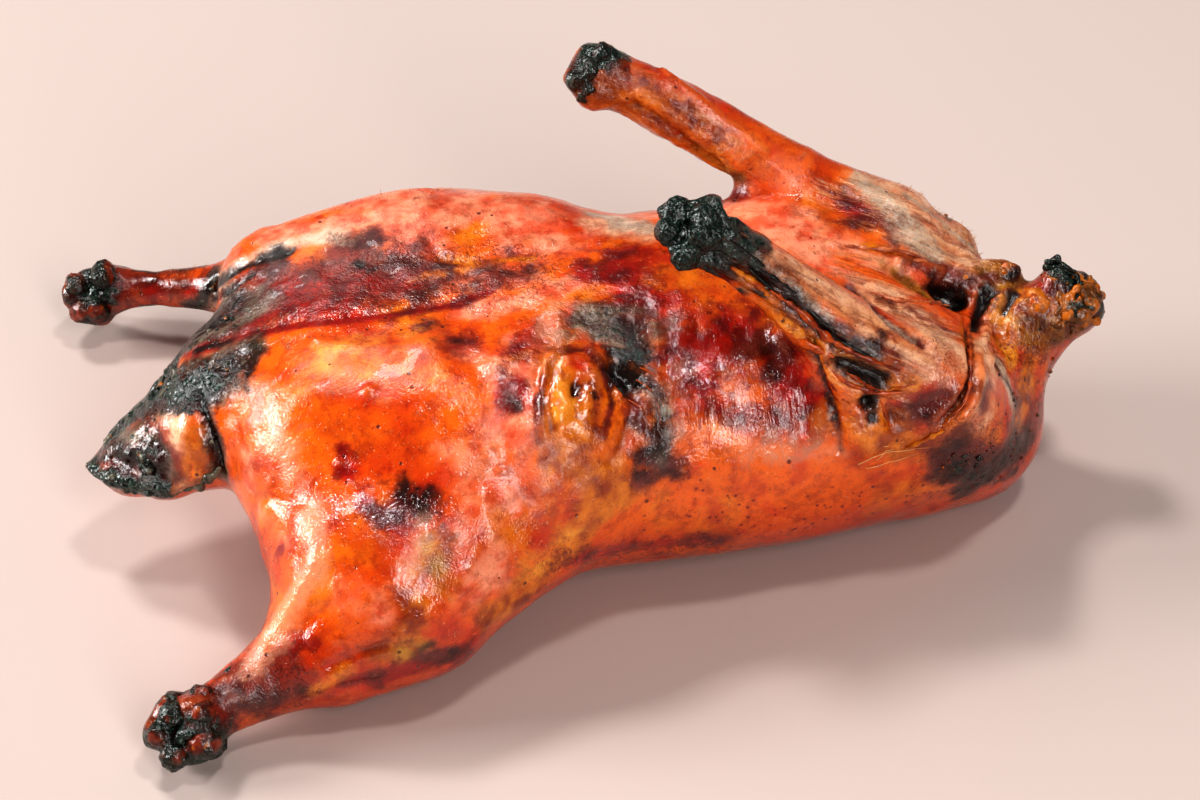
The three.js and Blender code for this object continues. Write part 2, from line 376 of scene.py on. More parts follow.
# Blisters and pits that stand alone: radius and height in millimetres, then the places.
BLISTERS = {
    "flank_craters": (2.2, 1.3, (395, 357), (458, 408), (315, 341), (367, 392), (372, 392), (342, 462)),
    "flank_beads": (1.3, 0.8, (415, 412), (349, 487), (438, 392), (388, 430), (300, 470), (455, 470),
            (500, 470)),
    "flank_swells": (6.0, 1.2, (345, 375), (318, 395), (430, 350)),
    "leg_beads": (1.4, 0.8, (420, 602), (352, 588), (338, 640), (394, 640), (310, 640), (300, 690)),
    "hip_beads": (1.4, 0.9, (492, 404), (530, 430), (540, 455), (575, 470), (600, 480), (505, 470),
            (520, 510)),
    "wing_beads": (1.9, 2.2, (722, 150), (732, 157), (741, 164), (749, 155), (736, 146), (728, 140)),
    "neck_lumps": (2.8, 2.0, (945, 264), (957, 270), (972, 273), (984, 284), (1013, 270), (1035, 300),
            (1075, 312)),
    "tail_bumps": (2.6, 1.6, (148, 450), (156, 462), (138, 468), (126, 456)),
    "tail_dome": (6.6, 2.0, (184, 426), (190, 440), (186, 456)),
}
CREASE_HEIGHT = 0.85
CREASE_WAVER = 0.45
CREASE_REACH = 3

lift = np.zeros(len(places))
waver = CREASE_HEIGHT + CREASE_WAVER * unevenness(places, 8 * MM, 31)
for width, height, *pixels in CREASES.values():
    gap = distance_to(trail(*pixels), CREASE_REACH * width * MM)
    lift += height * MM * np.exp(-(gap / (width * MM)) ** 2) * waver
for radius, height, *pixels in BLISTERS.values():
    for pixel in pixels:
        gap = distance_to(trail(pixel), CREASE_REACH * radius * MM)
        lift += height * MM * np.exp(-(gap / (radius * MM)) ** 2)

# Stains: radius in millimetres and strength, then the line they follow.
STAINS = {
    "pink": {
        "far_hip": (13, 1.0, (420, 228), (450, 205), (500, 212), (540, 235)),
        "between_wings": (11, 1.0, (732, 208), (765, 222), (795, 236), (815, 248)),
        "shoulder_band": (7, 0.8, (830, 245), (870, 260), (905, 268)),
        "rump_top": (5, 0.8, (262, 240), (310, 228), (370, 216), (420, 212)),
        "rump_far": (9, 1.0, (248, 232), (290, 214), (340, 202), (400, 196), (470, 194)),
        "rump_side": (6, 0.45, (243, 448), (252, 490), (285, 535)),
        "upper_leg": (10, 0.5, (470, 485), (492, 535), (478, 575)),
        "upper_leg_patch": (6, 0.4, (350, 600), (385, 612)),
        "thigh": (8, 0.4, (500, 430), (510, 470)),
        "plateau_tint": (13, 0.45, (250, 315), (330, 285), (420, 285), (520, 278)),
        "plateau_foot": (6, 0.9, (470, 310), (530, 300), (570, 285)),
        "hip_front": (6, 0.6, (470, 350), (500, 380)),
        "knob_left": (7, 0.9, (522, 350), (516, 400), (520, 445)),
        "thigh_low": (10, 0.5, (470, 440), (490, 500), (470, 540)),
    },
    "flesh": {
        "tail_dome": (7, 1.0, (176, 416), (184, 438), (180, 458)),
        "wing_top": (4.6, 1.0, (724, 214), (745, 232), (775, 256), (805, 276), (835, 302), (868, 328),
            (905, 352)),
        "wing_top_wide": (5.5, 1.0, (838, 300), (870, 322), (905, 345), (935, 362)),
        "shoulder": (11, 1.0, (885, 298), (920, 322), (948, 350), (940, 370)),
        "neck_front": (8, 0.75, (985, 350), (984, 385), (982, 418)),
        "neck_front_right": (8, 0.25, (1035, 350), (1030, 375), (1022, 405)),
        "neck_fold": (2.4, 1.0, (1008, 292), (995, 305), (987, 325), (984, 346)),
        "neck_brow": (2.6, 0.9, (940, 262), (957, 270), (972, 272)),
        "far_shoulder": (11, 1.0, (880, 200), (925, 228), (975, 262)),
        "far_shoulder_edge": (7, 1.0, (905, 190), (945, 215), (985, 250)),
        "far_wing_top": (3, 0.4, (640, 74), (690, 108), (740, 145)),
        "behind_head": (6, 0.8, (590, 222), (620, 230), (648, 238)),
        "under_breast_front": (7, 0.2, (1010, 440), (1030, 410)),
    },
    "brown": {
        "plateau": (15, 1.0, (238, 318), (290, 288), (350, 276), (420, 280)),
        "plateau_front": (7, 0.6, (420, 285), (470, 285), (520, 275)),
        "knob_outline": (1.7, 0.85, (541, 440), (539, 402), (545, 372), (560, 352), (585, 350), (603, 370),
            (612, 402), (605, 434)),
        "knob_spots": (1.2, 0.9, (562, 370), (566, 380)),
        "knob_spots_low": (1.4, 0.8, (573, 402), (578, 416)),
        "knob_shade": (3.4, 0.6, (588, 376), (596, 396), (592, 424)),
        "ankle_neck": (9, 1.0, (205, 705), (250, 690), (290, 690)),
        "ankle_neck_top": (5, 0.9, (230, 672), (262, 668), (290, 668)),
        "far_ankle_neck": (5, 1.0, (118, 285), (135, 282), (150, 285)),
        "far_leg": (6, 0.75, (120, 288), (165, 288), (205, 284)),
        "far_leg_top": (2.6, 0.9, (135, 270), (170, 272), (205, 266)),
        "rump_high": (8, 0.85, (205, 322), (235, 302), (262, 286)),
        "tail_face": (10, 1.0, (110, 455), (140, 450), (165, 462)),
        "tail_top": (5, 0.9, (120, 428), (145, 408), (165, 392)),
        "neck_end": (9, 1.0, (1050, 290), (1075, 312), (1095, 305)),
        "neck_end_low": (7, 0.9, (1030, 335), (1060, 335)),
        "neck_brow": (3.4, 1.0, (905, 261), (930, 268), (952, 280), (982, 285)),
        "neck_brow_far": (3.4, 0.9, (1000, 275), (1020, 272)),
        "breast_front": (11, 1.0, (960, 448), (985, 472), (1012, 452), (1030, 425)),
        "neck_right": (3.6, 0.8, (1030, 350), (1026, 372), (1019, 400), (1010, 425)),
        "neck_under_end": (4, 0.7, (1066, 348), (1052, 366)),
        "tail_edge": (5, 0.9, (90, 462), (120, 470), (150, 478)),
        "wing_band": (4.5, 0.9, (735, 250), (770, 275), (810, 312), (850, 345), (890, 362)),
        "far_wing_end": (5, 0.7, (596, 78), (615, 70)),
        "far_wing": (3, 0.6, (606, 66), (668, 100), (725, 142)),
        "far_wing_low": (4, 0.7, (610, 108), (660, 140), (700, 165)),
        "far_shoulder": (5, 0.6, (850, 200), (875, 212)),
    },
    "red": {
        "plateau_edge": (3, 1.0, (200, 350), (250, 334), (300, 324), (350, 320), (400, 314), (450, 305),
            (490, 292)),
        "rump": (6, 0.9, (192, 350), (215, 340), (245, 332)),
        "plateau": (8, 0.8, (232, 322), (280, 312), (335, 305)),
        "plateau_high": (8, 0.7, (262, 296), (330, 286), (400, 284)),
        "far_leg": (3, 0.8, (150, 292), (190, 294), (205, 290)),
        "upper_back": (9, 0.9, (596, 272), (630, 270), (640, 330)),
        "wing_side": (12, 0.9, (690, 352), (740, 345), (790, 362)),
        "wing_side_low": (8, 0.8, (795, 375), (815, 410)),
        "wing_side_glaze": (8, 0.6, (692, 405), (750, 420), (812, 432)),
        "side_by_hole": (8, 0.7, (660, 380), (700, 380)),
        "hip_front": (6, 0.7, (520, 350), (540, 330), (560, 320)),
        "hip_spot": (5, 0.8, (470, 345), (448, 350)),
        "knob_side": (5, 0.9, (512, 400), (520, 385)),
        "flank_smear": (4, 0.9, (368, 505), (388, 520), (400, 522)),
        "flank_spot": (3, 0.8, (341, 450), (345, 470)),
        "leg_spot": (2.6, 1.0, (282, 548), (280, 552)),
        "leg_spot_low": (3, 0.8, (295, 645), (318, 642)),
        "knee": (5, 1.0, (345, 682), (390, 676), (430, 660), (465, 655)),
        "neck_patch": (6, 1.0, (908, 412), (930, 400)),
        "shoulder_lines": (2.5, 0.7, (905, 305), (925, 320), (945, 330)),
        "behind_head": (4, 0.8, (610, 250), (650, 250)),
        "lower_breast": (5, 0.6, (560, 560), (640, 545), (720, 540)),
        "far_wing_root": (4, 0.9, (722, 188), (742, 196)),
        "far_shoulder": (5, 0.7, (850, 205), (865, 215)),
        "wing_spots": (1.6, 0.9, (742, 252), (746, 258), (800, 300)),
    },
    "amber": {
        "knob": (6.5, 1.0, (556, 372), (575, 400), (585, 440)),
        "below_knob": (8, 0.9, (560, 450), (600, 475), (620, 490)),
        "band": (6, 1.0, (620, 500), (585, 525), (550, 560), (520, 595), (495, 615)),
        "flank_tint": (4.5, 0.8, (428, 545), (437, 585)),
        "leg_tint": (6, 0.9, (385, 650), (410, 640), (415, 610)),
        "leg_tint_low": (4, 0.7, (310, 695), (345, 670)),
        "wing_gold": (2.6, 1.0, (733, 270), (750, 284), (768, 296)),
        "wing_strands": (3.4, 1.0, (775, 310), (805, 340), (840, 356), (880, 374), (912, 384)),
        "wing_strands_low": (3.0, 1.0, (820, 360), (842, 380), (872, 390), (900, 386)),
        "web": (7, 0.9, (845, 415), (880, 435), (905, 445)),
        "web_light": (3, 0.9, (885, 392), (905, 388)),
        "neck_crease": (1.8, 0.9, (966, 325), (972, 365), (966, 395), (945, 422)),
        "neck_lump": (5, 1.0, (1032, 300), (1042, 308)),
        "neck_lump_low": (4, 1.0, (1070, 312), (1082, 306)),
        "far_wing": (8, 1.0, (618, 96), (655, 118), (705, 155)),
        "tail": (4.6, 0.9, (198, 436), (198, 455), (188, 468)),
        "plateau_bits": (1.4, 1.0, (412, 281), (424, 276), (440, 276)),
        "plateau_bits_front": (1.4, 0.9, (462, 270), (480, 267)),
        "hip_line": (1.6, 0.8, (440, 258), (480, 262), (530, 258)),
        "far_shoulder": (8, 0.4, (805, 195), (830, 212)),
        "shoulder_streak": (2, 0.9, (865, 247), (885, 250), (908, 257)),
        "under_wing": (4, 0.7, (900, 440), (940, 440), (960, 430)),
        "neck_right": (7, 0.7, (1034, 352), (1024, 392), (1014, 432)),
    },
    "olive": {
        "neck_hollow": (3.6, 1.0, (898, 270), (912, 284), (922, 292)),
        "neck_pocket": (4, 0.7, (1000, 318), (1000, 340), (1012, 352)),
        "neck_under": (8, 1.0, (1012, 320), (1035, 325), (1058, 328)),
        "far_wing_root": (3.6, 1.0, (700, 150), (722, 164), (735, 172)),
        "slot": (3, 0.8, (842, 362), (880, 378)),
        "leg_smear": (3, 0.5, (425, 540), (436, 570)),
        "leg_smear_low": (4, 0.6, (405, 655), (425, 645)),
        "band": (4, 0.5, (560, 540), (530, 575)),
    },
    "mauve": {
        "gash": (4, 0.8, (218, 296), (245, 278), (280, 262)),
        "flank_spot": (5, 0.8, (385, 512), (400, 505), (420, 508)),
        "wing_side": (5, 0.9, (742, 352), (765, 345), (788, 350), (775, 372)),
        "hole_side": (5, 0.8, (630, 395), (642, 415), (655, 445)),
        "below_hole": (5, 0.9, (645, 455), (670, 468), (645, 480)),
        "flap": (2.0, 0.8, (590, 350), (604, 365), (612, 384)),
        "knob_side": (3, 0.8, (514, 398), (518, 408)),
        "far_shoulder": (5, 0.8, (852, 222), (880, 218), (895, 228)),
        "knee": (4, 0.9, (425, 657), (450, 655)),
        "neck_patch": (4.5, 1.0, (925, 412), (945, 396)),
        "breast_front": (9, 0.9, (952, 455), (978, 478), (1002, 452)),
        "rump": (3, 0.6, (247, 392), (262, 418)),
        "hip_tint": (4, 0.6, (455, 340), (470, 335)),
        # The mauve line along the groove between wing and shoulder is painted shade.
        "wing_back_groove": (2.4, 0.9, (848, 286), (870, 303), (895, 326), (922, 344)),
        "neck_front": (5, 0.7, (975, 385), (985, 400)),
        "shoulder_spot": (2, 0.8, (880, 298), (892, 305)),
        "neck_lump": (3, 0.8, (984, 285), (990, 280)),
    },
    "gold": {
        "flank_top": (9, 0.6, (322, 360), (360, 358), (415, 360)),
        "neck_pocket": (4, 1.0, (1000, 322), (1003, 340), (1008, 354)),
        "neck_lump": (4, 0.8, (1030, 298), (1044, 306)),
        "knob": (5, 0.5, (560, 385), (566, 410), (575, 432)),
        "wing_gold": (2.4, 1.0, (733, 270), (750, 284), (766, 295)),
        "web_light": (2.6, 0.9, (895, 392), (915, 388)),
        "band": (3.6, 0.6, (590, 515), (555, 550), (520, 590)),
        "far_wing_root": (3.4, 0.7, (706, 152), (730, 166)),
        "wing_strands": (2.4, 0.7, (785, 325), (820, 350)),
    },
    "smoke": {
        "rump": (9, 1.0, (162, 392), (190, 370), (228, 358), (250, 352)),
        "rump_low": (6, 1.0, (160, 402), (200, 394), (232, 388)),
        "rump_back": (6, 0.6, (150, 380), (168, 345), (195, 312), (215, 285)),
        "tail_face": (7, 0.9, (118, 440), (140, 450), (155, 470)),
        "tail_top": (4, 0.9, (95, 452), (125, 418), (150, 392)),
        "tail_rim": (3, 1.0, (95, 468), (125, 484), (165, 491), (200, 482)),
        "rump_fold": (3.2, 1.0, (203, 400), (213, 435), (221, 470)),
        "above_hole": (9, 1.0, (600, 316), (628, 340)),
        "side_by_hole": (6, 0.7, (645, 380), (662, 410), (658, 450)),
    },
    "ash": {
        "behind_head": (5, 0.9, (592, 214), (620, 220), (645, 228)),
        "gash_side": (4, 0.7, (215, 290), (232, 268), (275, 246), (330, 235)),
        "far_leg": (2, 0.7, (140, 268), (180, 268), (205, 262)),
        # The pale specks of the smear above the hole are painted glints.
        "smear": (4, 0.7, (596, 318), (610, 330), (620, 345)),
        "far_streak": (4.5, 1.0, (868, 188), (900, 218), (930, 248)),
        "far_streak_thin": (1.4, 0.8, (905, 195), (945, 225), (975, 250)),
        "wing_top_edge": (1.4, 0.9, (738, 244), (785, 280), (830, 318)),
        "wing_back_groove": (1.6, 0.9, (860, 296), (890, 322), (915, 340)),
        "neck_streak": (4, 0.9, (998, 362), (1008, 388), (1014, 408)),
    },
    "char": {
        "gash": (2.4, 1.0, (213, 288), (238, 270), (262, 259), (290, 250)),
        "gash_second": (1.6, 0.9, (214, 300), (236, 287), (254, 275)),
        "rump_edge": (4, 0.9, (196, 305), (172, 335), (156, 365)),
        "rump_streak": (2.6, 0.8, (196, 350), (228, 340)),
        "rump": (7, 0.9, (168, 362), (160, 382), (175, 392), (205, 390)),
        "rump_wide": (7, 0.7, (182, 385), (212, 368), (244, 360)),
        "rump_high": (6, 0.75, (205, 372), (230, 366), (246, 372)),
        "rump_seam": (2.4, 0.9, (200, 402), (212, 430), (220, 462)),
        "tail_face": (6, 0.75, (112, 448), (135, 455), (150, 468)),
        "rump_specks_low": (1.4, 0.6, (243, 384), (252, 392)),
        "tail_top": (2.4, 0.9, (88, 460), (118, 456), (148, 450)),
        "rump_outline": (3.0, 0.9, (146, 390), (158, 365), (176, 340), (200, 305), (216, 272)),
        "tail_outline": (2.6, 0.9, (92, 454), (126, 414), (150, 388)),
        "flank_spot": (5.0, 0.72, (404, 490), (426, 497)),
        "hole": (5.6, 1.2, (622, 368), (626, 378)),
        "hole_rim": (3.4, 0.9, (612, 352), (636, 356), (640, 380)),
        "above_hole": (5, 0.5, (612, 328), (624, 336), (634, 350)),
        "side_by_hole": (4, 0.55, (648, 378), (662, 405), (655, 432)),
        "wing_neck": (6, 0.8, (712, 245), (735, 258)),
        "wing_streak": (3.4, 0.75, (735, 250), (765, 275), (800, 303), (836, 338), (870, 352)),
        "wing_spot": (2, 1.0, (756, 292), (764, 294)),
        "wing_slot": (2.6, 1.0, (842, 364), (882, 381)),
        "web_hole": (2.3, 1.1, (867, 401), (868, 404)),
        "web_hole_small": (1.7, 1.1, (872, 415), (873, 418)),
        "web_moat": (1.0, 0.6, (813, 347), (824, 385), (834, 420)),
        "breast_front": (7.5, 0.62, (952, 470), (976, 480), (1002, 464), (1022, 442)),
        "neck_specks": (2.2, 0.7, (995, 365), (1008, 385), (1016, 404)),
        "neck_hole": (4, 1.1, (936, 293), (958, 300)),
        "neck_slit": (2.2, 1.1, (986, 294), (979, 310), (976, 328)),
        "neck_crease": (0.9, 0.8, (969, 378), (957, 407)),
        "neck_pocket_slit": (1.4, 1.0, (1014, 294), (1004, 312)),
        "neck_lump": (1.8, 0.9, (1008, 277), (1014, 275)),
        "plateau_specks": (1.5, 0.9, (356, 264), (362, 267)),
        "plateau_specks_far": (1.4, 0.8, (368, 272), (374, 270)),
        "knob_hollow": (1.9, 0.8, (576, 384), (577, 391)),
        "knob_spot": (1.4, 0.7, (592, 394), (594, 398)),
        "knee": (2.4, 0.6, (418, 652), (432, 645)),
        "below_hole": (3, 0.7, (648, 452), (662, 448)),
    },
    "crust": {
        "wing_head": (14, 1.0, (672, 215), (705, 222), (688, 252)),
        "neck_spike": (5, 1.0, (1055, 258), (1075, 280)),
        "near_ankle": (8, 0.9, (185, 735), (215, 745), (200, 765)),
        "above_hole": (6, 0.5, (606, 322), (624, 334), (632, 350)),
        "breast_front": (6, 0.3, (955, 466), (978, 482), (996, 462)),
        "far_ankle": (8, 1.0, (98, 285), (85, 318)),
        "far_wing_end": (4, 1.0, (576, 80), (582, 62), (600, 52), (622, 50)),
        "tail_bumps": (3, 0.6, (140, 460), (154, 455)),
        "tail_edge": (2.6, 0.9, (92, 466), (125, 482), (165, 490)),
        "rump_edge": (4, 0.8, (156, 365), (150, 390)),
        "tail_top": (6, 1.0, (96, 450), (125, 420), (150, 394)),
        "rump": (7, 0.75, (162, 378), (185, 392), (208, 380)),
    },
    "blister": {
        "rump": (8, 0.7, (190, 380), (225, 385), (245, 395)),
        "rump_edge": (8, 0.8, (165, 370), (180, 395)),
        "hip": (8, 0.9, (545, 330), (570, 310), (560, 345)),
        "hip_side": (6, 0.8, (500, 370), (530, 350)),
        "above_hole": (9, 1.0, (600, 318), (635, 335)),
        "below_hole": (8, 0.9, (645, 410), (650, 450)),
        "back": (7, 0.8, (600, 280), (640, 290)),
        "flank": (7, 0.7, (480, 400), (475, 440)),
        "web": (7, 0.8, (850, 425), (890, 445)),
        "tail": (8, 0.9, (110, 475), (160, 485)),
        "tail_face": (8, 0.9, (115, 445), (150, 450)),
        "far_wing": (8, 1.0, (600, 78), (655, 108), (712, 146)),
        "near_ankle": (7, 0.8, (185, 700), (170, 740)),
        "neck_end": (9, 1.0, (1050, 285), (1080, 310)),
        "neck_under": (8, 0.8, (1015, 330), (1045, 340)),
        "neck_brow": (6, 0.9, (905, 262), (940, 272), (980, 280), (1015, 272)),
        "breast_front": (8, 0.9, (955, 465), (980, 480), (1000, 455)),
    },
    "streak": {
        "wing_side": (19, 1.0, (690, 420), (750, 400), (800, 400)),
        "wing_side_high": (14, 0.8, (690, 340), (760, 340)),
        "rump_side": (7, 0.5, (245, 455), (262, 500)),
    },
    "facet": {
        "rump": (13, 1.0, (240, 395), (268, 430), (300, 470)),
        "smear": (13, 1.0, (598, 312), (640, 345)),
        "back": (13, 0.8, (600, 285), (660, 320), (740, 340)),
        "hip_fan": (7, 0.9, (545, 342), (560, 308)),
        "side_by_hole": (9, 0.8, (652, 385), (690, 425), (660, 450)),
        "below_knob": (10, 0.9, (540, 462), (605, 485)),
        "leg": (7, 1.0, (310, 515), (318, 555), (298, 595), (262, 650)),
        "leg_side": (9, 0.8, (408, 530), (440, 560), (480, 530)),
        "thigh": (8, 0.7, (450, 380), (480, 450)),
        "wing_side": (8, 0.35, (740, 440), (800, 440)),
        "web": (7, 0.7, (850, 430), (900, 440)),
        "far_hip": (12, 0.5, (430, 225), (520, 225)),
        "far_wing": (7, 0.9, (612, 92), (660, 118), (722, 160)),
        "shoulder": (9, 0.6, (880, 290), (940, 350)),
    },
    "satin": {
        "flank": (12, 0.8, (325, 362), (360, 360), (415, 362)),
        "below_knob": (12, 0.8, (545, 462), (600, 478)),
        "far_shoulder": (9, 1.0, (752, 152), (778, 168)),
        "thigh": (8, 0.7, (520, 500), (560, 500)),
    },
    # Painted highlights: pale peach patches where highlights fall on the leg, flank, rump, thigh, hip and
    # wing side.
    "painted_highlight": {
        "leg": (4.2, 1.0, (312, 515), (320, 550), (302, 590), (276, 630), (256, 662)),
        "flank_blob": (6.0, 0.5, (338, 366), (350, 384)),
        "wing_side": (5.0, 0.6, (745, 452), (790, 450), (835, 452)),
        "rump": (6, 0.8, (248, 390), (270, 420), (292, 466)),
        "thigh": (2.6, 0.6, (405, 575), (418, 545), (425, 520)),
        "far_hip": (4, 0.5, (500, 205), (540, 215)),
        "hip": (4, 0.7, (545, 330), (556, 305)),
    },
    "wing": {
        "near": (10, 1.0, (720, 235), (780, 280), (840, 330), (900, 365)),
        "near_web": (6, 0.8, (830, 375), (880, 385)),
        "far": (7, 0.3, (600, 90), (660, 110), (740, 155)),
        "far_shoulder": (11, 0.8, (860, 205), (920, 230), (965, 255)),
        "shoulder": (9, 0.7, (850, 260), (900, 300), (930, 330)),
    },
    "crinkle": {
        "plateau": (16, 1.0, (240, 318), (300, 285), (420, 278), (520, 275)),
        "ankle_neck": (10, 1.0, (230, 695), (290, 690)),
        "breast_front": (13, 0.9, (965, 440), (985, 470), (1000, 440)),
        "lower_breast": (9, 0.6, (560, 560), (640, 555), (720, 545)),
        "neck": (12, 0.9, (1010, 370), (1040, 330), (1080, 310)),
        "shoulder": (10, 0.5, (920, 320), (950, 360)),
        "near_ankle": (12, 0.6, (185, 735), (215, 750)),
    },
    "follicle": {
        "lower_breast": (12, 1.0, (680, 510), (760, 520), (860, 510), (920, 500)),
        "lower_thigh": (7, 0.5, (640, 520), (690, 525)),
    },
}
# Stains that are also on the side that faces away, with how far they lie from the mirrored place.
MIRRORED = {
    "pink": {"rump_side": 0.006, "upper_leg": -0.004},
    "flesh": {"neck_front": 0.0, "under_breast_front": 0.0},
    "brown": {"breast_front": 0.002, "ankle_neck": 0.0, "neck_end": 0.0, "neck_end_low": 0.0},
    "red": {"flank_smear": 0.01, "knee": 0.0, "wing_side_low": -0.01, "leg_spot_low": 0.01,
            "lower_breast": 0.0},
    "amber": {"band": -0.006, "flank_tint": 0.012, "below_knob": 0.0, "leg_tint": 0.0},
    "olive": {"band": 0.004, "neck_under": 0.0},
    "mauve": {"below_hole": -0.008, "neck_patch": 0.0},
    "gold": {"band": 0.0},
    "smoke": {"rump": 0.0, "rump_low": 0.004, "tail_face": 0.0},
    "satin": {"flank": 0.0},
    "painted_highlight": {"leg": 0.004},
    "char": {"flank_spot": -0.012, "rump": 0.003, "rump_high": 0.0, "tail_face": 0.0,
             "breast_front": -0.004, "neck_specks": 0.0},
    "crust": {"near_ankle": 0.0},
    "blister": {"rump": 0.006, "flank": -0.01},
    "streak": {"wing_side": 0.0},
    "facet": {"rump": 0.0, "leg": 0.0, "leg_side": 0.0, "thigh": 0.0, "wing_side": 0.0},
    "crinkle": {"breast_front": 0.0, "lower_breast": 0.0, "ankle_neck": 0.0, "neck": 0.0},
    "follicle": {"lower_breast": 0.0, "lower_thigh": 0.0},
}
# How many radii a stain reaches, how fast it falls off, and how much its edge frays.
STAIN_REACH = 2.2
STAIN_FALL = 0.75
STAIN_FRAY = 0.45

rough_edge = cloudiness(places, 10 * MM, 1)
masks = {}
for stain, strokes in STAINS.items():
    mask = np.zeros(len(places))
    shifts = MIRRORED.get(stain, {})
    for name, (radius, strength, *pixels) in strokes.items():
        lines = [trail(*pixels)]
        if name in shifts:
            lines.append(mirrored(lines[0], shifts[name]))
        for line in lines:
            gap = distance_to(line, STAIN_REACH * radius * MM) / (radius * MM)
            frayed = gap * (1 + STAIN_FRAY * rough_edge)
            mask = np.maximum(mask, strength * np.exp(-STAIN_FALL * frayed ** 2))
    masks[stain] = mask


def add_stain(stain, amount):
    """More of a stain, where there is less of it than this amount."""
    masks[stain] = np.maximum(masks[stain], amount)


# The ends that are burnt through, all round: a pixel on each, and its reach in millimetres.
END_SPOTS = {
    "near_wing_knobs": ((688, 232), 15),
    "far_wing_knobs": ((598, 72), 9),
    "near_ankle_knobs": ((188, 738), 13),
    "far_ankle_knobs": ((96, 292), 12),
    "neck_knobs": ((1074, 302), 10),
}
END_DEPTH = 0.5
END_BALL = 1.2
END_TRIES = 3
END_FRAY = 0.2
TIP_BURNT = 0.62
# Where each begins and is full: how far the skin turns from the eye or outwards along the end,
# and how near to the end's middle it lies.
HIDDEN = (-0.3, 0.3)
AT_TIP = (0.35, 0.75)
SCORCHED = (-1.75, -1.35)
BROWNED = (-1.6, -1.15)

duck_middle = places.mean(axis=0)
hidden = smooth_step(-(outward @ towards_eye), *HIDDEN)
end_middles = {}
for name, (pixel, reach) in END_SPOTS.items():
    middle = trail(pixel)[0][0] - END_DEPTH * reach * MM * towards_eye
    for step in range(END_TRIES):
        close = np.linalg.norm(places - middle, axis=1) < END_BALL * reach * MM
        middle = places[close].mean(axis=0)
    end_middles[name] = middle
    depth = END_FRAY * rough_edge - np.linalg.norm(places - middle, axis=1) / (reach * MM)
    out_along = (middle - duck_middle) / np.linalg.norm(middle - duck_middle)
    at_tip = TIP_BURNT * smooth_step(outward @ out_along, *AT_TIP)
    add_stain("crust", np.maximum(hidden, at_tip) * smooth_step(depth, *SCORCHED))
    add_stain("brown", smooth_step(depth, *BROWNED))

# The way the wings lie, for the fibres that run along them.
WING_AXIS = np.array((0.88, -0.20, -0.43))
WING_AXIS /= np.linalg.norm(WING_AXIS)
WING_SQUEEZE = 0.86


def along_wing(points):
    """Places squeezed along the wings, so that a pattern drawn from them runs lengthwise."""
    return points - WING_SQUEEZE * (points @ WING_AXIS)[:, None] * WING_AXIS


def ridged(values):
    """Sharp crests where smooth bumps pass through zero."""
    return 1 - 2 * np.abs(values)


# The wings' hidden sides: the half thickness in millimetres, and the line along each.
WING_SHAFTS = {"near": (8, (700, 238), (820, 335)), "far": (8, (605, 80), (735, 160))}
WING_SEEN = 0.3
WING_HIDDEN = 0.65
BEHIND = (-0.1, 0.4)
BESIDE = (-2.2, -1.5)

hidden = smooth_step(-(outward @ towards_eye), *BEHIND)
drawn_out = cloudiness(along_wing(places), 5 * MM, 95)
# What lies there: the stain, its strength, its clouds, and where in them it begins and is full.
BEHIND_STAINS = (
    ("flesh", 1.0, drawn_out, -0.2, 0.4),
    ("brown", 0.9, -drawn_out, -0.1, 0.6),
    ("char", 0.9, drawn_out, 0.75, 1.1),
)
for thick, *pixels in WING_SHAFTS.values():
    shaft = trail(*pixels)[0] - thick * MM * towards_eye
    gap = np.min([np.linalg.norm(places - spot, axis=1) for spot in shaft], axis=0) / (thick * MM)
    beside = smooth_step(-gap, *BESIDE)
    add_stain("wing", beside * (WING_SEEN + WING_HIDDEN * hidden))
    for stain, strength, clouds, low, high in BEHIND_STAINS:
        add_stain(stain, strength * hidden * beside * smooth_step(clouds, low, high))

# The relief: small swells all over, crinkles on the dry places, facets where the glazed skin
# shines, blisters where the fat boiled, and fibres along the wings. Each layer is its height in
# millimetres, where it lies, and its pattern.
SKEW = np.array(((1.0, 0.0, 0.3), (0.0, 0.8, 0.0), (-0.3, 0.0, 0.6)))
PULL = np.array((1.0, 0.35, 0.35))
BEND = 3 * MM
FOOT_HEIGHT = 6 * MM
bent = places + BEND * unevenness(places, 15 * MM, 41)[:, None]
skewed = bent @ SKEW
crinkles = ridged(unevenness(places, 7 * MM, 5)) - np.abs(unevenness(places, 4 * MM, 6))
boil = np.abs(unevenness(places, 5.2 * MM, 7)) + 0.5 * unevenness(places, 3.6 * MM, 8)
here_and_there = smooth_step(unevenness(places, 40 * MM, 43), -0.4, 0.5)
RELIEF = (
    (0.5, 1, unevenness(places, 17 * MM, 3)),
    (0.2, 1, unevenness(places, 8 * MM, 4)),
    (0.3, here_and_there, ridged(unevenness(bent, 13 * MM, 42)) - 0.4),
    (0.6, masks["crinkle"], crinkles),
    (0.75, masks["facet"], ridged(unevenness(skewed, 8.5 * MM, 91)) - 0.3),
    (0.3, masks["facet"], ridged(unevenness(skewed, 4.4 * MM, 92))),
    (1.0, masks["blister"], boil),
    (0.55, masks["streak"], unevenness(places * PULL, 4.4 * MM, 9)),
    (0.7, masks["wing"], ridged(cloudiness(along_wing(places), 4.4 * MM, 71)) - 0.2),
    (0.35, masks["char"], unevenness(places, 4 * MM, 10)),
    (1.0, masks["crust"], unevenness(places, 4.4 * MM, 10)),
)
for height, where, pattern in RELIEF:
    lift += height * MM * where * pattern
above_floor = np.clip(places[:, 2] / FOOT_HEIGHT, 0, 1)
places += outward * (lift * above_floor)[:, None]
places[:, 2] = np.maximum(places[:, 2], 0)
move_points(skin_mesh, places)


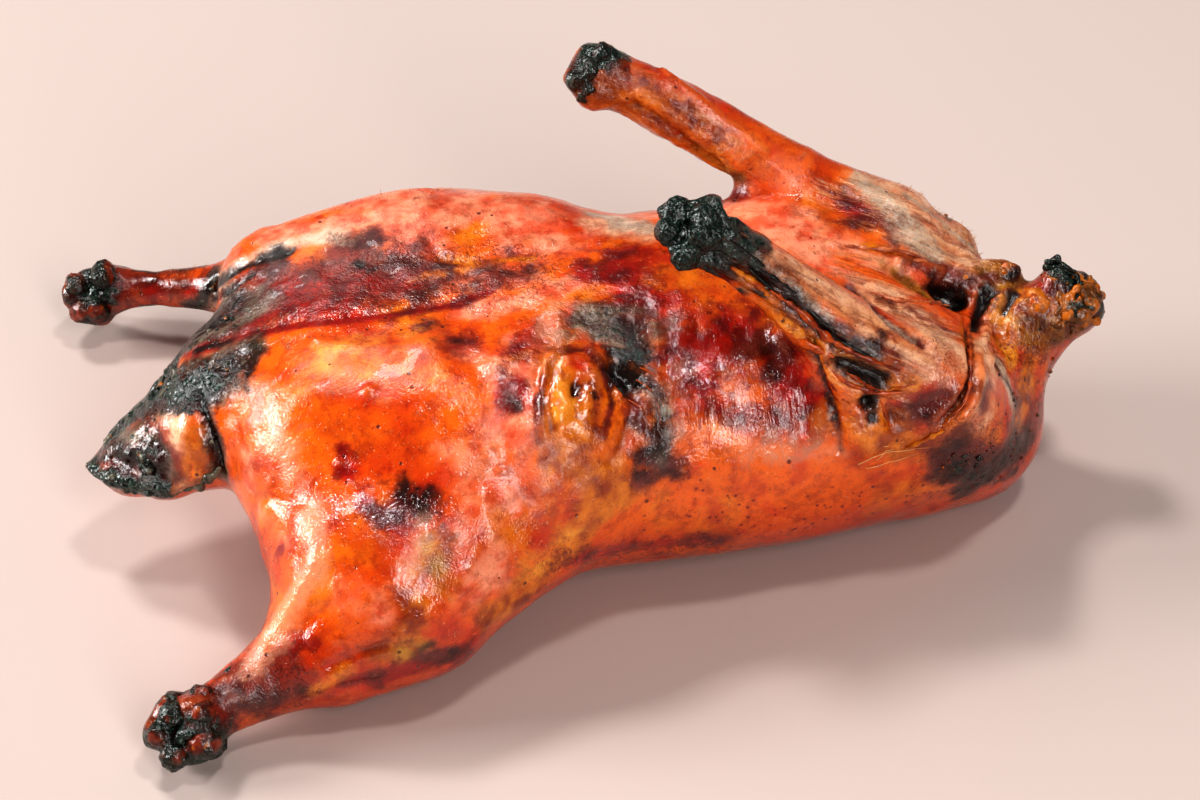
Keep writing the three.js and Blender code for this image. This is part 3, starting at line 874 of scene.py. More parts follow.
def hollows(mesh, cell, blurs):
    """How deep each point of a mesh lies below those around it: above 0 in folds, below 0 on crests."""
    points, facings = coordinates(mesh), directions(mesh)
    edges = np.empty(len(mesh.edges) * 2, dtype=np.int32)
    mesh.edges.foreach_get("vertices", edges)
    ends = edges.reshape(-1, 2).T
    neighbours = np.bincount(edges, minlength=len(points))

    def average_around(values):
        """Each point's value averaged with its neighbours' values."""
        total = values.copy()
        for here, there in (ends, ends[::-1]):
            total += np.bincount(here, weights=values[there], minlength=len(values))
        return total / (neighbours + 1)

    pulled = np.stack([average_around(points[:, axis]) for axis in range(3)], axis=1)
    depth = np.sum((pulled - points) * facings, axis=1) / cell
    for blur in range(blurs):
        depth = average_around(depth)
    return depth


def give_mask(mesh, name, values):
    """Amounts kept at a mesh's points for its material."""
    mesh.attributes.new(name, "FLOAT", "POINT").data.foreach_set("value", values.astype(np.float32))


def give_paint(mesh, colours):
    """One colour, or one for each of a mesh's points, kept there for its material."""
    colours = np.broadcast_to(colours, (len(mesh.vertices), 4)).copy()
    colours[:, 3] = 1.0
    layer = mesh.attributes.new("paint", "FLOAT_COLOR", "POINT")
    layer.data.foreach_set("color", colours.astype(np.float32).ravel())


SHADED_STAINS = ("char", "crust", "ash", "blister", "streak", "crinkle", "follicle", "wing", "pink",
                 "flesh", "facet", "painted_highlight", "satin", "dark")
DARK_STAINS = ("brown", "red", "mauve", "smoke")
masks["dark"] = np.max([masks[stain] for stain in DARK_STAINS], axis=0)
for stain in SHADED_STAINS:
    give_mask(skin_mesh, stain, masks[stain])


def srgb(red, green, blue):
    """A colour as the eye reads it, 0 to 255, turned into amounts of light."""
    shares = [part / 255 for part in (red, green, blue)]
    return tuple(s / 12.92 if s < 0.04045 else ((s + 0.055) / 1.055) ** 2.4 for s in shares) + (1.0,)


# The paint, in amounts of light. Stains are laid on in order, each as a light and a dark tone
# that drift into each other, from masks whose edges clouds tear.
ROAST_ORANGE = srgb(236, 106, 12)
ROAST_DEEP = srgb(192, 48, 6)
ROAST_GOLD = srgb(230, 134, 22)
LOW_ORANGE = srgb(186, 52, 2)
STAIN_COLOURS = {
    "pink": (srgb(244, 158, 124), srgb(230, 102, 68)),
    "flesh": (srgb(244, 190, 154), srgb(206, 126, 90)),
    "brown": (srgb(156, 58, 38), srgb(84, 26, 18)),
    "red": (srgb(182, 34, 22), srgb(116, 12, 12)),
    "amber": (srgb(220, 126, 22), srgb(156, 60, 8)),
    "olive": (srgb(186, 128, 40), srgb(112, 68, 20)),
    "mauve": (srgb(124, 52, 46), srgb(66, 22, 24)),
    "smoke": (srgb(140, 134, 116), srgb(56, 58, 48)),
    "ash": (srgb(232, 194, 166), srgb(164, 128, 104)),
    "gold": (srgb(238, 158, 52), srgb(212, 108, 22)),
}
STAIN_RAGGED = 0.32
STAIN_RISE = (0.1, 0.85)
STAIN_SEED = 23
TONE_DRIFT = (-0.5, 0.7)
TONE_SEED = 25
SEEDS_APART = 5
FIBRE_BROWN = srgb(128, 52, 26)
FIBRE_PALE = srgb(226, 150, 92)
# Painted shade, dark red in the folds, and painted light, pale orange on the crests, set by how deep each
# skin point lies.
PAINTED_FOLD_SHADE = srgb(104, 16, 6)
PAINTED_CREST_LIGHT = srgb(246, 146, 66)
SCORCH = srgb(58, 14, 8)
SCORCH_RAGGED = 0.3
HOLLOW_BLURS = 4
FINER = 0.6


def spread(amount, below, above):
    """One colour over another by an amount at each point."""
    return below + (np.array(above) - below) * amount[:, None]


def laid_on(paint, layers):
    """Paint with layers over it, each of them how much, where it lies, and its colour."""
    for much, where, colour in layers:
        paint = spread(much * where, np.array(paint), colour)
    return paint


winged = smooth_step(masks["wing"], 0.1, 0.5)
fibres = cloudiness(along_wing(places), 4.4 * MM, 71)
hollow = hollows(skin_mesh, SKIN_CELL, HOLLOW_BLURS)


def patches(cell, seed):
    """Clouds of one size, drawn out into finer fibres on the wings and the shoulder."""
    even = cloudiness(places, cell, seed)
    drawn_out = cloudiness(along_wing(places), FINER * cell, seed + 3)
    return even + (drawn_out - even) * winged


def ragged(mask, much, clouds):
    """A stain's mask with its edge torn by clouds."""
    return mask + much * clouds * smooth_step(mask, 0, 0.3)


paint = laid_on(ROAST_ORANGE, (
    (1, smooth_step(cloudiness(places, 34 * MM, 11), -0.3, 0.9), ROAST_DEEP),
    (0.7, smooth_step(cloudiness(places, 26 * MM, 15), 0.1, 0.9), ROAST_GOLD),
    (0.6, smooth_step(patches(7 * MM, 19), 0.1, 0.9), ROAST_DEEP),
    (0.7, smooth_step(-places[:, 2], -52 * MM, -22 * MM), LOW_ORANGE),
))
for order, (stain, (light_tone, dark_tone)) in enumerate(STAIN_COLOURS.items()):
    level = ragged(masks[stain], STAIN_RAGGED, patches(8 * MM, STAIN_SEED + SEEDS_APART * order))
    tone = smooth_step(patches(6 * MM, TONE_SEED + SEEDS_APART * order), *TONE_DRIFT)
    mixed = spread(tone, np.array(light_tone), dark_tone)
    paint = spread(smooth_step(level, *STAIN_RISE), paint, mixed)
singeing = patches(7 * MM, 61)
paint = laid_on(paint, (
    (0.45, winged * smooth_step(fibres, 0.2, 0.8), FIBRE_BROWN),
    (0.45, winged * smooth_step(-fibres, 0.2, 0.8), FIBRE_PALE),
    # Painted shade in the folds, less where the skin is gold, and painted light on the crests.
    (0.8 - 0.6 * masks["gold"], smooth_step(hollow, 0.012, 0.07), PAINTED_FOLD_SHADE),
    (0.3, smooth_step(-hollow, 0.01, 0.06), PAINTED_CREST_LIGHT),
    (0.85, smooth_step(ragged(masks["char"], SCORCH_RAGGED, singeing), 0.1, 0.9), SCORCH),
    (0.95, smooth_step(ragged(masks["crust"], SCORCH_RAGGED, singeing), 0.06, 0.5), SCORCH),
))
give_paint(skin_mesh, paint)


def add_node(tree, kind, inputs=(), **settings):
    """A node with its settings, whose inputs take a value or another node's output."""
    node = tree.nodes.new(kind)
    for name, value in settings.items():
        setattr(node, name, value)
    for name, value in dict(inputs).items():
        if isinstance(value, bpy.types.NodeSocket):
            tree.links.new(value, node.inputs[name])
        else:
            node.inputs[name].default_value = value
    return node


def sums(tree, operation, first, second=0.0, third=0.0):
    """One step of arithmetic."""
    return add_node(tree, "ShaderNodeMath", {0: first, 1: second, 2: third}, operation=operation).outputs[0]


def times(tree, first, second):
    """Two values multiplied."""
    return sums(tree, "MULTIPLY", first, second)


def plus(tree, base, value, much):
    """A value and so much of another."""
    return sums(tree, "MULTIPLY_ADD", value, much, base)


def ramp(tree, value, low, high, start=0.0, end=1.0):
    """A smooth rise from one value to another."""
    inputs = {"Value": value, 1: low, 2: high, 3: start, 4: end}
    return add_node(tree, "ShaderNodeMapRange", inputs, interpolation_type="SMOOTHSTEP").outputs[0]


def laid_over(tree, amount, below, above, way="MIX"):
    """One colour laid over another."""
    inputs = {0: amount, 6: below, 7: above}
    return add_node(tree, "ShaderNodeMix", inputs, data_type="RGBA", blend_type=way).outputs[2]


def grain(tree, place, size, detail, roughness, bend=0.0):
    """Noise with features of a size in metres."""
    return add_node(tree, "ShaderNodeTexNoise", {
        "Vector": place, "Scale": 1 / size, "Detail": detail, "Roughness": roughness,
        "Distortion": bend}).outputs["Fac"]


def kept(tree, name, output="Fac"):
    """The amounts or colours kept at a mesh's points."""
    return add_node(tree, "ShaderNodeAttribute", attribute_name=name).outputs[output]


def new_group(name, inputs, output):
    """An empty node group: its tree, its input node and its output node."""
    tree = bpy.data.node_groups.new(name, "ShaderNodeTree")
    for title, value in inputs.items():
        socket = tree.interface.new_socket(title, in_out="INPUT", socket_type="NodeSocketFloat")
        socket.default_value = value
    tree.interface.new_socket(output, in_out="OUTPUT", socket_type="NodeSocketFloat")
    return tree, tree.nodes.new("NodeGroupInput"), tree.nodes.new("NodeGroupOutput")


def use_group(tree, group, **inputs):
    """A node group placed in a material with its own values."""
    return add_node(tree, "ShaderNodeGroup", inputs, node_tree=group).outputs[0]


# A stain's edge, broken up into ragged islands.
ragged_edge, inside, outside = new_group(
    "ragged_edge", {"Mask": 0.0, "Islands": 0.5, "Ragged": 0.6, "Soft": 0.15}, "Amount")
swing = sums(ragged_edge, "SUBTRACT", inside.outputs["Islands"], 0.5)
swing = times(ragged_edge, swing, inside.outputs["Ragged"])
there = ramp(ragged_edge, inside.outputs["Mask"], 0.0, 0.25)
level = plus(ragged_edge, inside.outputs["Mask"], swing, there)
start = sums(ragged_edge, "SUBTRACT", 0.5, inside.outputs["Soft"])
end = sums(ragged_edge, "ADD", 0.5, inside.outputs["Soft"])
ragged_edge.links.new(ramp(ragged_edge, level, start, end), outside.inputs["Amount"])

# Fine wrinkles with sharp crests, in millimetres of height.
wrinkles, inside, outside = new_group("wrinkles", {"Size": 0.003, "Height": 0.1}, "Height")
place = wrinkles.nodes.new("ShaderNodeTexCoord").outputs["Object"]
scale = sums(wrinkles, "DIVIDE", 1.0, inside.outputs["Size"])
wave = add_node(wrinkles, "ShaderNodeTexNoise", {
    "Vector": place, "Scale": scale, "Detail": 3.0, "Roughness": 0.6}).outputs["Fac"]
crest = sums(wrinkles, "ABSOLUTE", sums(wrinkles, "SUBTRACT", wave, 0.5))
crest = times(wrinkles, sums(wrinkles, "SUBTRACT", 0.5, crest), 2.0)
wrinkles.links.new(times(wrinkles, crest, inside.outputs["Height"]), outside.inputs["Height"])

# Round bubbles side by side, in millimetres of height.
bubbles, inside, outside = new_group("bubbles", {"Size": 0.003, "Height": 0.3}, "Height")
place = bubbles.nodes.new("ShaderNodeTexCoord").outputs["Object"]
scale = sums(bubbles, "DIVIDE", 1.0, inside.outputs["Size"])
cells = add_node(bubbles, "ShaderNodeTexVoronoi", {"Vector": place, "Scale": scale})
dome = sums(bubbles, "SUBTRACT", 1.0, sums(bubbles, "POWER", cells.outputs["Distance"], 2.0))
bubbles.links.new(times(bubbles, dome, inside.outputs["Height"]), outside.inputs["Height"])


def new_material(name, coat_weight, coat_roughness):
    """A material under a thin clear coat: itself, its tree, its shader and the places it reads."""
    material = bpy.data.materials.new(name)
    material.use_nodes = True
    tree = material.node_tree
    shader = tree.nodes["Principled BSDF"]
    shader.inputs["Coat Weight"].default_value = coat_weight
    shader.inputs["Coat Roughness"].default_value = coat_roughness
    return material, tree, shader, tree.nodes.new("ShaderNodeTexCoord").outputs["Object"]


def finish_surface(tree, shader, colour, roughness, groups, patterns):
    """Colour, roughness and relief, from groups of a size and a height and patterns of a height."""
    tree.links.new(colour, shader.inputs["Base Color"])
    tree.links.new(roughness, shader.inputs["Roughness"])
    relief = 0.0
    for group, size, height in groups:
        relief = sums(tree, "ADD", relief, use_group(tree, group, Size=size, Height=height))
    for pattern, height in patterns:
        relief = plus(tree, relief, pattern, height)
    bump = add_node(tree, "ShaderNodeBump", {"Height": relief, "Distance": MM, "Strength": 1.0})
    tree.links.new(bump.outputs["Normal"], shader.inputs["Normal"])


MOTTLE_SHADE = (0.62, 0.40, 0.26, 1.0)
MOTTLE_GLOW = srgb(250, 150, 70)
ISLAND_SHADE = (0.60, 0.40, 0.28, 1.0)
STAIN_SHADE = (0.46, 0.22, 0.20, 1.0)
SPECK_RED = srgb(100, 22, 10)
# The pale of the painted glints.
PAINTED_GLINT_PALE = srgb(255, 176, 118)
THREAD_BROWN = srgb(70, 26, 14)
THREAD_PALE = srgb(232, 170, 118)
CREASE_RED = srgb(104, 22, 14)
# The pale peach of the painted highlights.
PAINTED_HIGHLIGHT_PALE = srgb(252, 186, 150)
PORE_RED = srgb(128, 18, 8)
PIT_BROWN = srgb(78, 20, 8)
CHAR_BLACK = srgb(12, 15, 13)
CHAR_GREEN = srgb(46, 66, 54)
CHAR_BROWN = srgb(52, 18, 12)
ASH_GREY = srgb(194, 176, 156)
PORE_GAP = 0.0034
PIT_GAP = 0.0062
THREAD_SQUEEZE = 0.9
STREAK_STRETCH = (1.0, 0.16, 0.16)
SKIN_SPECULAR = 0.8
SKIN_ROUGHNESS = 0.05
# What each stain adds to the roughness.
ROUGHER = {"pink": 0.06, "satin": 0.5, "crinkle": 0.26, "flesh": 0.10, "ash": 0.12}
ISLANDS_ROUGHER = 0.08
# Stains and painted highlights with a torn edge: how ragged it is and how soft.
TORN = {
    "dark": (2.6, 0.12),
    "painted_highlight": (1.6, 0.45),
    "ash": (2.2, 0.45),
    "char": (2.2, 0.45),
    "crust": (2.2, 0.22),
}

roast, tree, shader, place = new_material("roast_skin", coat_weight=0.10, coat_roughness=0.05)
shader.inputs["Specular IOR Level"].default_value = SKIN_SPECULAR
marks = {stain: kept(tree, stain) for stain in SHADED_STAINS}

# Patterns: noise in several sizes, threads along the wings, and strands along the duck.
islands = grain(tree, place, size=0.005, detail=6.0, roughness=0.64)
specks = grain(tree, place, size=0.0013, detail=3.0, roughness=0.6)
mottle = grain(tree, place, size=0.012, detail=6.0, roughness=0.66, bend=0.8)
glint_flecks = grain(tree, place, size=0.0013, detail=2.0, roughness=0.5, bend=1.2)
creases = grain(tree, place, size=0.006, detail=3.0, roughness=0.6, bend=1.6)
creases = sums(tree, "ABSOLUTE", sums(tree, "SUBTRACT", creases, 0.5))
axis = tuple(WING_AXIS)
reach = add_node(tree, "ShaderNodeVectorMath", {0: place, 1: axis}, operation="DOT_PRODUCT").outputs["Value"]
reach = times(tree, reach, THREAD_SQUEEZE)
reach = add_node(tree, "ShaderNodeVectorMath", {0: axis, "Scale": reach}, operation="SCALE").outputs[0]
squeezed = add_node(tree, "ShaderNodeVectorMath", {0: place, 1: reach}, operation="SUBTRACT").outputs[0]
threads = grain(tree, squeezed, size=0.0017, detail=4.0, roughness=0.62, bend=0.4)
stretched = add_node(tree, "ShaderNodeMapping", {"Vector": place, "Scale": STREAK_STRETCH}).outputs[0]
strands = grain(tree, stretched, size=0.0022, detail=3.0, roughness=0.6, bend=1.2)

# Masks: where the wings are, torn stains and painted highlights, pores on the breast, and pits of uneven
# size.
winged = ramp(tree, marks["wing"], 0.1, 0.55)
torn = {}
for stain, (edge, soft) in TORN.items():
    torn[stain] = use_group(tree, ragged_edge, Mask=marks[stain], Islands=islands, Ragged=edge, Soft=soft)
cells = add_node(tree, "ShaderNodeTexVoronoi", {"Vector": place, "Scale": 1 / PORE_GAP})
pores = ramp(tree, cells.outputs["Distance"], 0.26, 0.12)
pores = times(tree, pores, ramp(tree, marks["follicle"], 0.25, 0.7))
pores = times(tree, pores, ramp(tree, islands, 0.40, 0.50, 0.2, 0.9))
cells = add_node(tree, "ShaderNodeTexVoronoi", {"Vector": place, "Scale": 1 / PIT_GAP})
pit_size = add_node(tree, "ShaderNodeSeparateColor", {"Color": cells.outputs["Color"]}).outputs["Red"]
pits = ramp(tree, cells.outputs["Distance"], times(tree, pit_size, 0.16), times(tree, pit_size, 0.09))

soot = laid_over(tree, ramp(tree, marks["char"], 0.35, 0.85), CHAR_BROWN, CHAR_BLACK)
soot = laid_over(tree, ramp(tree, specks, 0.52, 0.68, end=0.7), soot, CHAR_BROWN)
coal = laid_over(tree, ramp(tree, specks, 0.42, 0.62), CHAR_BLACK, CHAR_GREEN)
dry = ramp(tree, marks["crinkle"], 0.15, 0.6, end=0.8)
# What is laid over the paint: how much, its colour, and the way it is laid on.
SKIN_LAYERS = (
    (ramp(tree, mottle, 0.46, 0.66, end=0.55), MOTTLE_SHADE, "MULTIPLY"),
    (ramp(tree, mottle, 0.44, 0.30, end=0.40), MOTTLE_GLOW, "SOFT_LIGHT"),
    (ramp(tree, islands, 0.50, 0.62, end=0.55), ISLAND_SHADE, "MULTIPLY"),
    (times(tree, ramp(tree, specks, 0.54, 0.72), plus(tree, 0.3, marks["crinkle"], 0.6)), SPECK_RED, "MIX"),
    # Painted glints: tiny pale flecks all over the skin.
    (ramp(tree, glint_flecks, 0.63, 0.76, end=0.4), PAINTED_GLINT_PALE, "MIX"),
    (times(tree, ramp(tree, threads, 0.50, 0.66, end=0.42), winged), THREAD_BROWN, "MIX"),
    (times(tree, ramp(tree, threads, 0.46, 0.32, end=0.55), winged), THREAD_PALE, "MIX"),
    (times(tree, ramp(tree, creases, 0.035, 0.004), dry), CREASE_RED, "MIX"),
    (times(tree, torn["dark"], 0.5), STAIN_SHADE, "MULTIPLY"),
    # Painted highlights, pale peach with torn edges.
    (times(tree, torn["painted_highlight"], 0.42), PAINTED_HIGHLIGHT_PALE, "MIX"),
    # Ash grey in pale specks; on the smear above the hole these specks are painted glints.
    (times(tree, torn["ash"], ramp(tree, specks, 0.62, 0.38, 0.1, 0.6)), ASH_GREY, "MIX"),
    (times(tree, torn["char"], 0.92), soot, "MIX"),
    (torn["crust"], coal, "MIX"),
    (pores, PORE_RED, "MIX"),
    (times(tree, pits, 0.8), PIT_BROWN, "MIX"),
)
colour = kept(tree, "paint", "Color")
for amount, tone, way in SKIN_LAYERS:
    colour = laid_over(tree, amount, colour, tone, way)

gloss = SKIN_ROUGHNESS
for stain, more in ROUGHER.items():
    gloss = plus(tree, gloss, marks[stain], more)
gloss = plus(tree, gloss, islands, ISLANDS_ROUGHER)

# The fine relief: sizes are in metres and heights in millimetres.
boiled = plus(tree, times(tree, marks["blister"], 0.45), torn["crust"], 0.45)
glints = plus(tree, plus(tree, 0.08, marks["blister"], 0.14), marks["facet"], 0.16)
finish_surface(tree, shader, colour, gloss, (
    (wrinkles, 0.0034, plus(tree, 0.09, marks["crinkle"], 0.35)),
    (wrinkles, 0.009, 0.22),
    (bubbles, 0.0023, boiled),
    (wrinkles, 0.0017, glints),
    (wrinkles, 0.0042, times(tree, marks["facet"], 0.3)),
), (
    (strands, times(tree, marks["streak"], 0.32)),
    (threads, times(tree, winged, 0.7)),
    (glint_flecks, 0.10),
    (specks, 0.08),
    (pits, -0.25),
))


def coat(piece, material):
    """A piece covered in one material."""
    piece.data.materials.clear()
    piece.data.materials.append(material)


coat(skin, roast)
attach(skin, "root")
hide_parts("roast_duck")

# The burnt ends: gristle and bone ends at the wings, the ankles and the neck, boiled up and
# burnt to hard knobs. Each is a few lobes covered in lumps of uneven size, melted into one
# closed mesh.
KNOB_CELL = 0.8 * MM
KNOB_SMOOTHINGS = 2
KNOB_BLURS = 2
KNOB_PITTING = 0.45 * MM
# How many lumps sit on each lobe, their least and largest radius, how much is burnt, the tones,
# and the lobes, each a pixel and a radius. All sizes are in millimetres.
BURNT_ENDS = {
    "near_wing_knobs": {
        "lumps": 60, "least": 0.7, "most": 1.9, "burnt": 1.0, "tones": "coal",
        "lobes": ((667, 209, 5.2), (702, 214, 5.2), (708, 238, 5.6), (681, 260, 4.8), (664, 232, 3.6))},
    "far_wing_knobs": {
        "lumps": 20, "least": 0.6, "most": 1.5, "burnt": 0.7, "tones": "gristle",
        "lobes": ((582, 60, 3.2), (574, 82, 3.2), (602, 48, 3.2), (622, 50, 3.0), (590, 70, 2.4),
                  (570, 92, 2.8), (582, 100, 2.4))},
    "near_ankle_knobs": {
        "lumps": 52, "least": 0.5, "most": 1.2, "burnt": 0.62, "tones": "gristle",
        "lobes": ((170, 712, 5.0), (205, 712, 4.6), (206, 748, 5.8), (172, 760, 4.6), (156, 735, 4.4))},
    "far_ankle_knobs": {
        "lumps": 20, "least": 0.6, "most": 1.6, "burnt": 0.6, "tones": "gristle",
        "lobes": ((74, 280, 4.4), (102, 273, 5.0), (100, 318, 4.6), (80, 312, 4.0))},
    "neck_knobs": {
        "lumps": 20, "least": 0.5, "most": 1.6, "burnt": 0.12, "tones": "crumb",
        "lobes": ((1035, 296, 5.0), (1068, 312, 3.6), (1090, 286, 3.2), (1094, 304, 3.2), (1084, 322, 3.0))},
}
KNOB_TONES = {
    "coal": (srgb(22, 42, 36), srgb(46, 48, 36)),
    "smoked": (srgb(112, 104, 86), srgb(58, 58, 48)),
    "gristle": (srgb(142, 56, 32), srgb(72, 30, 22)),
    "crumb": (srgb(196, 114, 34), srgb(104, 62, 26)),
}
COAL = srgb(16, 24, 21)
EMBER = srgb(196, 106, 26)
KNOB_GREEN = srgb(60, 94, 80)
KNOB_SHADE = (0.42, 0.30, 0.24, 1.0)
KNOB_FINE_SHADE = (0.35, 0.26, 0.22, 1.0)
LOBE_SUNK = 0.62
LUMP_SUNK = 0.3
# How far the skin under a knob is drawn in, and how near to its middle that begins and is full.
SKIN_DRAWN_IN = 0.42
DRAWN_IN = (-1.0, -0.7)
# How soot lies: its clouds are moved by how burnt the end is. Painted shade, as dark as the
# soot, fills hollows of these depths.
BURNT_SHARE = 2.2
BURNT_MIDDLE = 1.1
SOOT_EDGE = (-0.25, 0.45)
HOLLOW_SHADE_DEPTH = (0.05, 0.24)
KNOB_DRAWS = 300
KNOB_PITS = 400
KNOB_CLOUDS = 500

ball_form = bmesh.new()
bmesh.ops.create_icosphere(ball_form, subdivisions=2, radius=1.0)
ball_mesh = bpy.data.meshes.new("ball")
ball_form.to_mesh(ball_mesh)
ball_form.free()
ball_points = coordinates(ball_mesh)
ball_faces = np.array([tuple(face.vertices) for face in ball_mesh.polygons])


def melted(name, sites, cell, pitting, seed):
    """One closed mesh melted together from balls, each a centre and a radius in metres."""
    centres = np.array([centre for centre, radius in sites])
    radii = np.array([radius for centre, radius in sites])
    points = centres[:, None] + radii[:, None, None] * ball_points
    faces = ball_faces + len(ball_points) * np.arange(len(sites))[:, None, None]
    mesh = bpy.data.meshes.new(name)
    mesh.from_pydata(points.reshape(-1, 3).tolist(), [], faces.reshape(-1, 3).tolist())
    piece = put_in_scene(name, mesh)
    melt(piece, cell, KNOB_SMOOTHINGS)
    points, facings = coordinates(piece.data), directions(piece.data)
    rough = 0.6 * ridged(unevenness(points, 2.6 * MM, seed)) + 0.4 * unevenness(points, 1.5 * MM, seed + 1)
    points += facings * (pitting * rough)[:, None]
    points[:, 2] = np.maximum(points[:, 2], 0)
    move_points(piece.data, points)
    return piece


def colour_knobs(piece, tones, burnt, seed):
    """Two tones that drift into each other, with painted shade in the hollows and soot over part of the
    whole.
    """
    points = coordinates(piece.data)
    light_tone, dark_tone = KNOB_TONES[tones]
    sooted = cloudiness(points, 8 * MM, seed + 9) + BURNT_SHARE * burnt - BURNT_MIDDLE
    soot = smooth_step(hollows(piece.data, KNOB_CELL, KNOB_BLURS), *HOLLOW_SHADE_DEPTH)
    soot = np.maximum(soot, smooth_step(sooted, *SOOT_EDGE))
    give_mask(piece.data, "burnt", soot)
    give_paint(piece.data, laid_on(light_tone, (
        (1, smooth_step(cloudiness(points, 5 * MM, seed), -0.5, 0.6), dark_tone),
        (0.8, smooth_step(cloudiness(points, 2.4 * MM, seed + 5), 0.55, 0.9), EMBER),
        (0.95, soot, COAL),
    )))


knobs, tree, shader, place = new_material("burnt_knobs", coat_weight=0.15, coat_roughness=0.08)
# Soot, with the painted shade of the hollows, as kept at the points.
soot = kept(tree, "burnt")
fine = grain(tree, place, size=0.0009, detail=4.0, roughness=0.65)
broad = grain(tree, place, size=0.004, detail=4.0, roughness=0.6)
colour = kept(tree, "paint", "Color")
for amount, tone, way in (
    (ramp(tree, broad, 0.50, 0.68, end=0.7), KNOB_SHADE, "MULTIPLY"),
    (ramp(tree, fine, 0.52, 0.70, end=0.6), KNOB_FINE_SHADE, "MULTIPLY"),
    (times(tree, soot, ramp(tree, fine, 0.50, 0.36, end=0.55)), KNOB_GREEN, "MIX"),
    (times(tree, soot, ramp(tree, fine, 0.34, 0.26, end=0.5)), ASH_GREY, "MIX"),
):
    colour = laid_over(tree, amount, colour, tone, way)
finish_surface(tree, shader, colour, plus(tree, 0.06, broad, 0.3), (
    (bubbles, 0.0016, plus(tree, 0.08, soot, 0.4)),
    (wrinkles, 0.0022, 0.16),
), ((fine, 0.12),))

for number, (name, end) in enumerate(BURNT_ENDS.items()):
    draw = np.random.default_rng(KNOB_DRAWS + number)
    middle, reach = end_middles[name], END_SPOTS[name][1] * MM
    distance = np.linalg.norm(places - middle, axis=1)
    sites = []
    for px, py, size in end["lobes"]:
        radius = size * MM
        for spot, facing in zip(*trail((px, py))):
            front = spot - facing * radius * LOBE_SUNK
            back = front - 2 * ((front - middle) @ towards_eye) * towards_eye
            back, turned, _, _ = skin_tree.find_nearest(back)
            back = np.array(back) - np.array(turned) * radius * LOBE_SUNK
            for centre in (front, back):
                sites.append((Vector(centre), radius))
                for lump in range(end["lumps"]):
                    ray = draw.normal(0, 1, 3)
                    ray /= np.linalg.norm(ray)
                    small = (end["least"] + (end["most"] - end["least"]) * draw.random() ** 2) * MM
                    sites.append((Vector(centre + ray * (radius - LUMP_SUNK * small)), small))
    piece = melted(name, sites, KNOB_CELL, KNOB_PITTING, KNOB_PITS + 10 * number)
    colour_knobs(piece, end["tones"], end["burnt"], KNOB_CLOUDS + 20 * number)
    coat(piece, knobs)
    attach(piece, "root")
    drawn_in = SKIN_DRAWN_IN * smooth_step(-distance / reach, *DRAWN_IN)
    places += (middle - places) * drawn_in[:, None]
move_points(skin_mesh, places)

# Crusts and crumbs: fat that boiled out of the skin and burnt, along the tail's rim, over the
# rump, on the neck's torn end and on the breast, and a black spike on the neck. Each is rows of
# small balls laid on the skin and melted into one closed mesh.
CRUST_CELL = 0.75 * MM
CRUST_PITTING = 0.3 * MM
CRUST_DRAWS = 340
CRUST_PITS = 440
CRUST_CLOUDS = 620
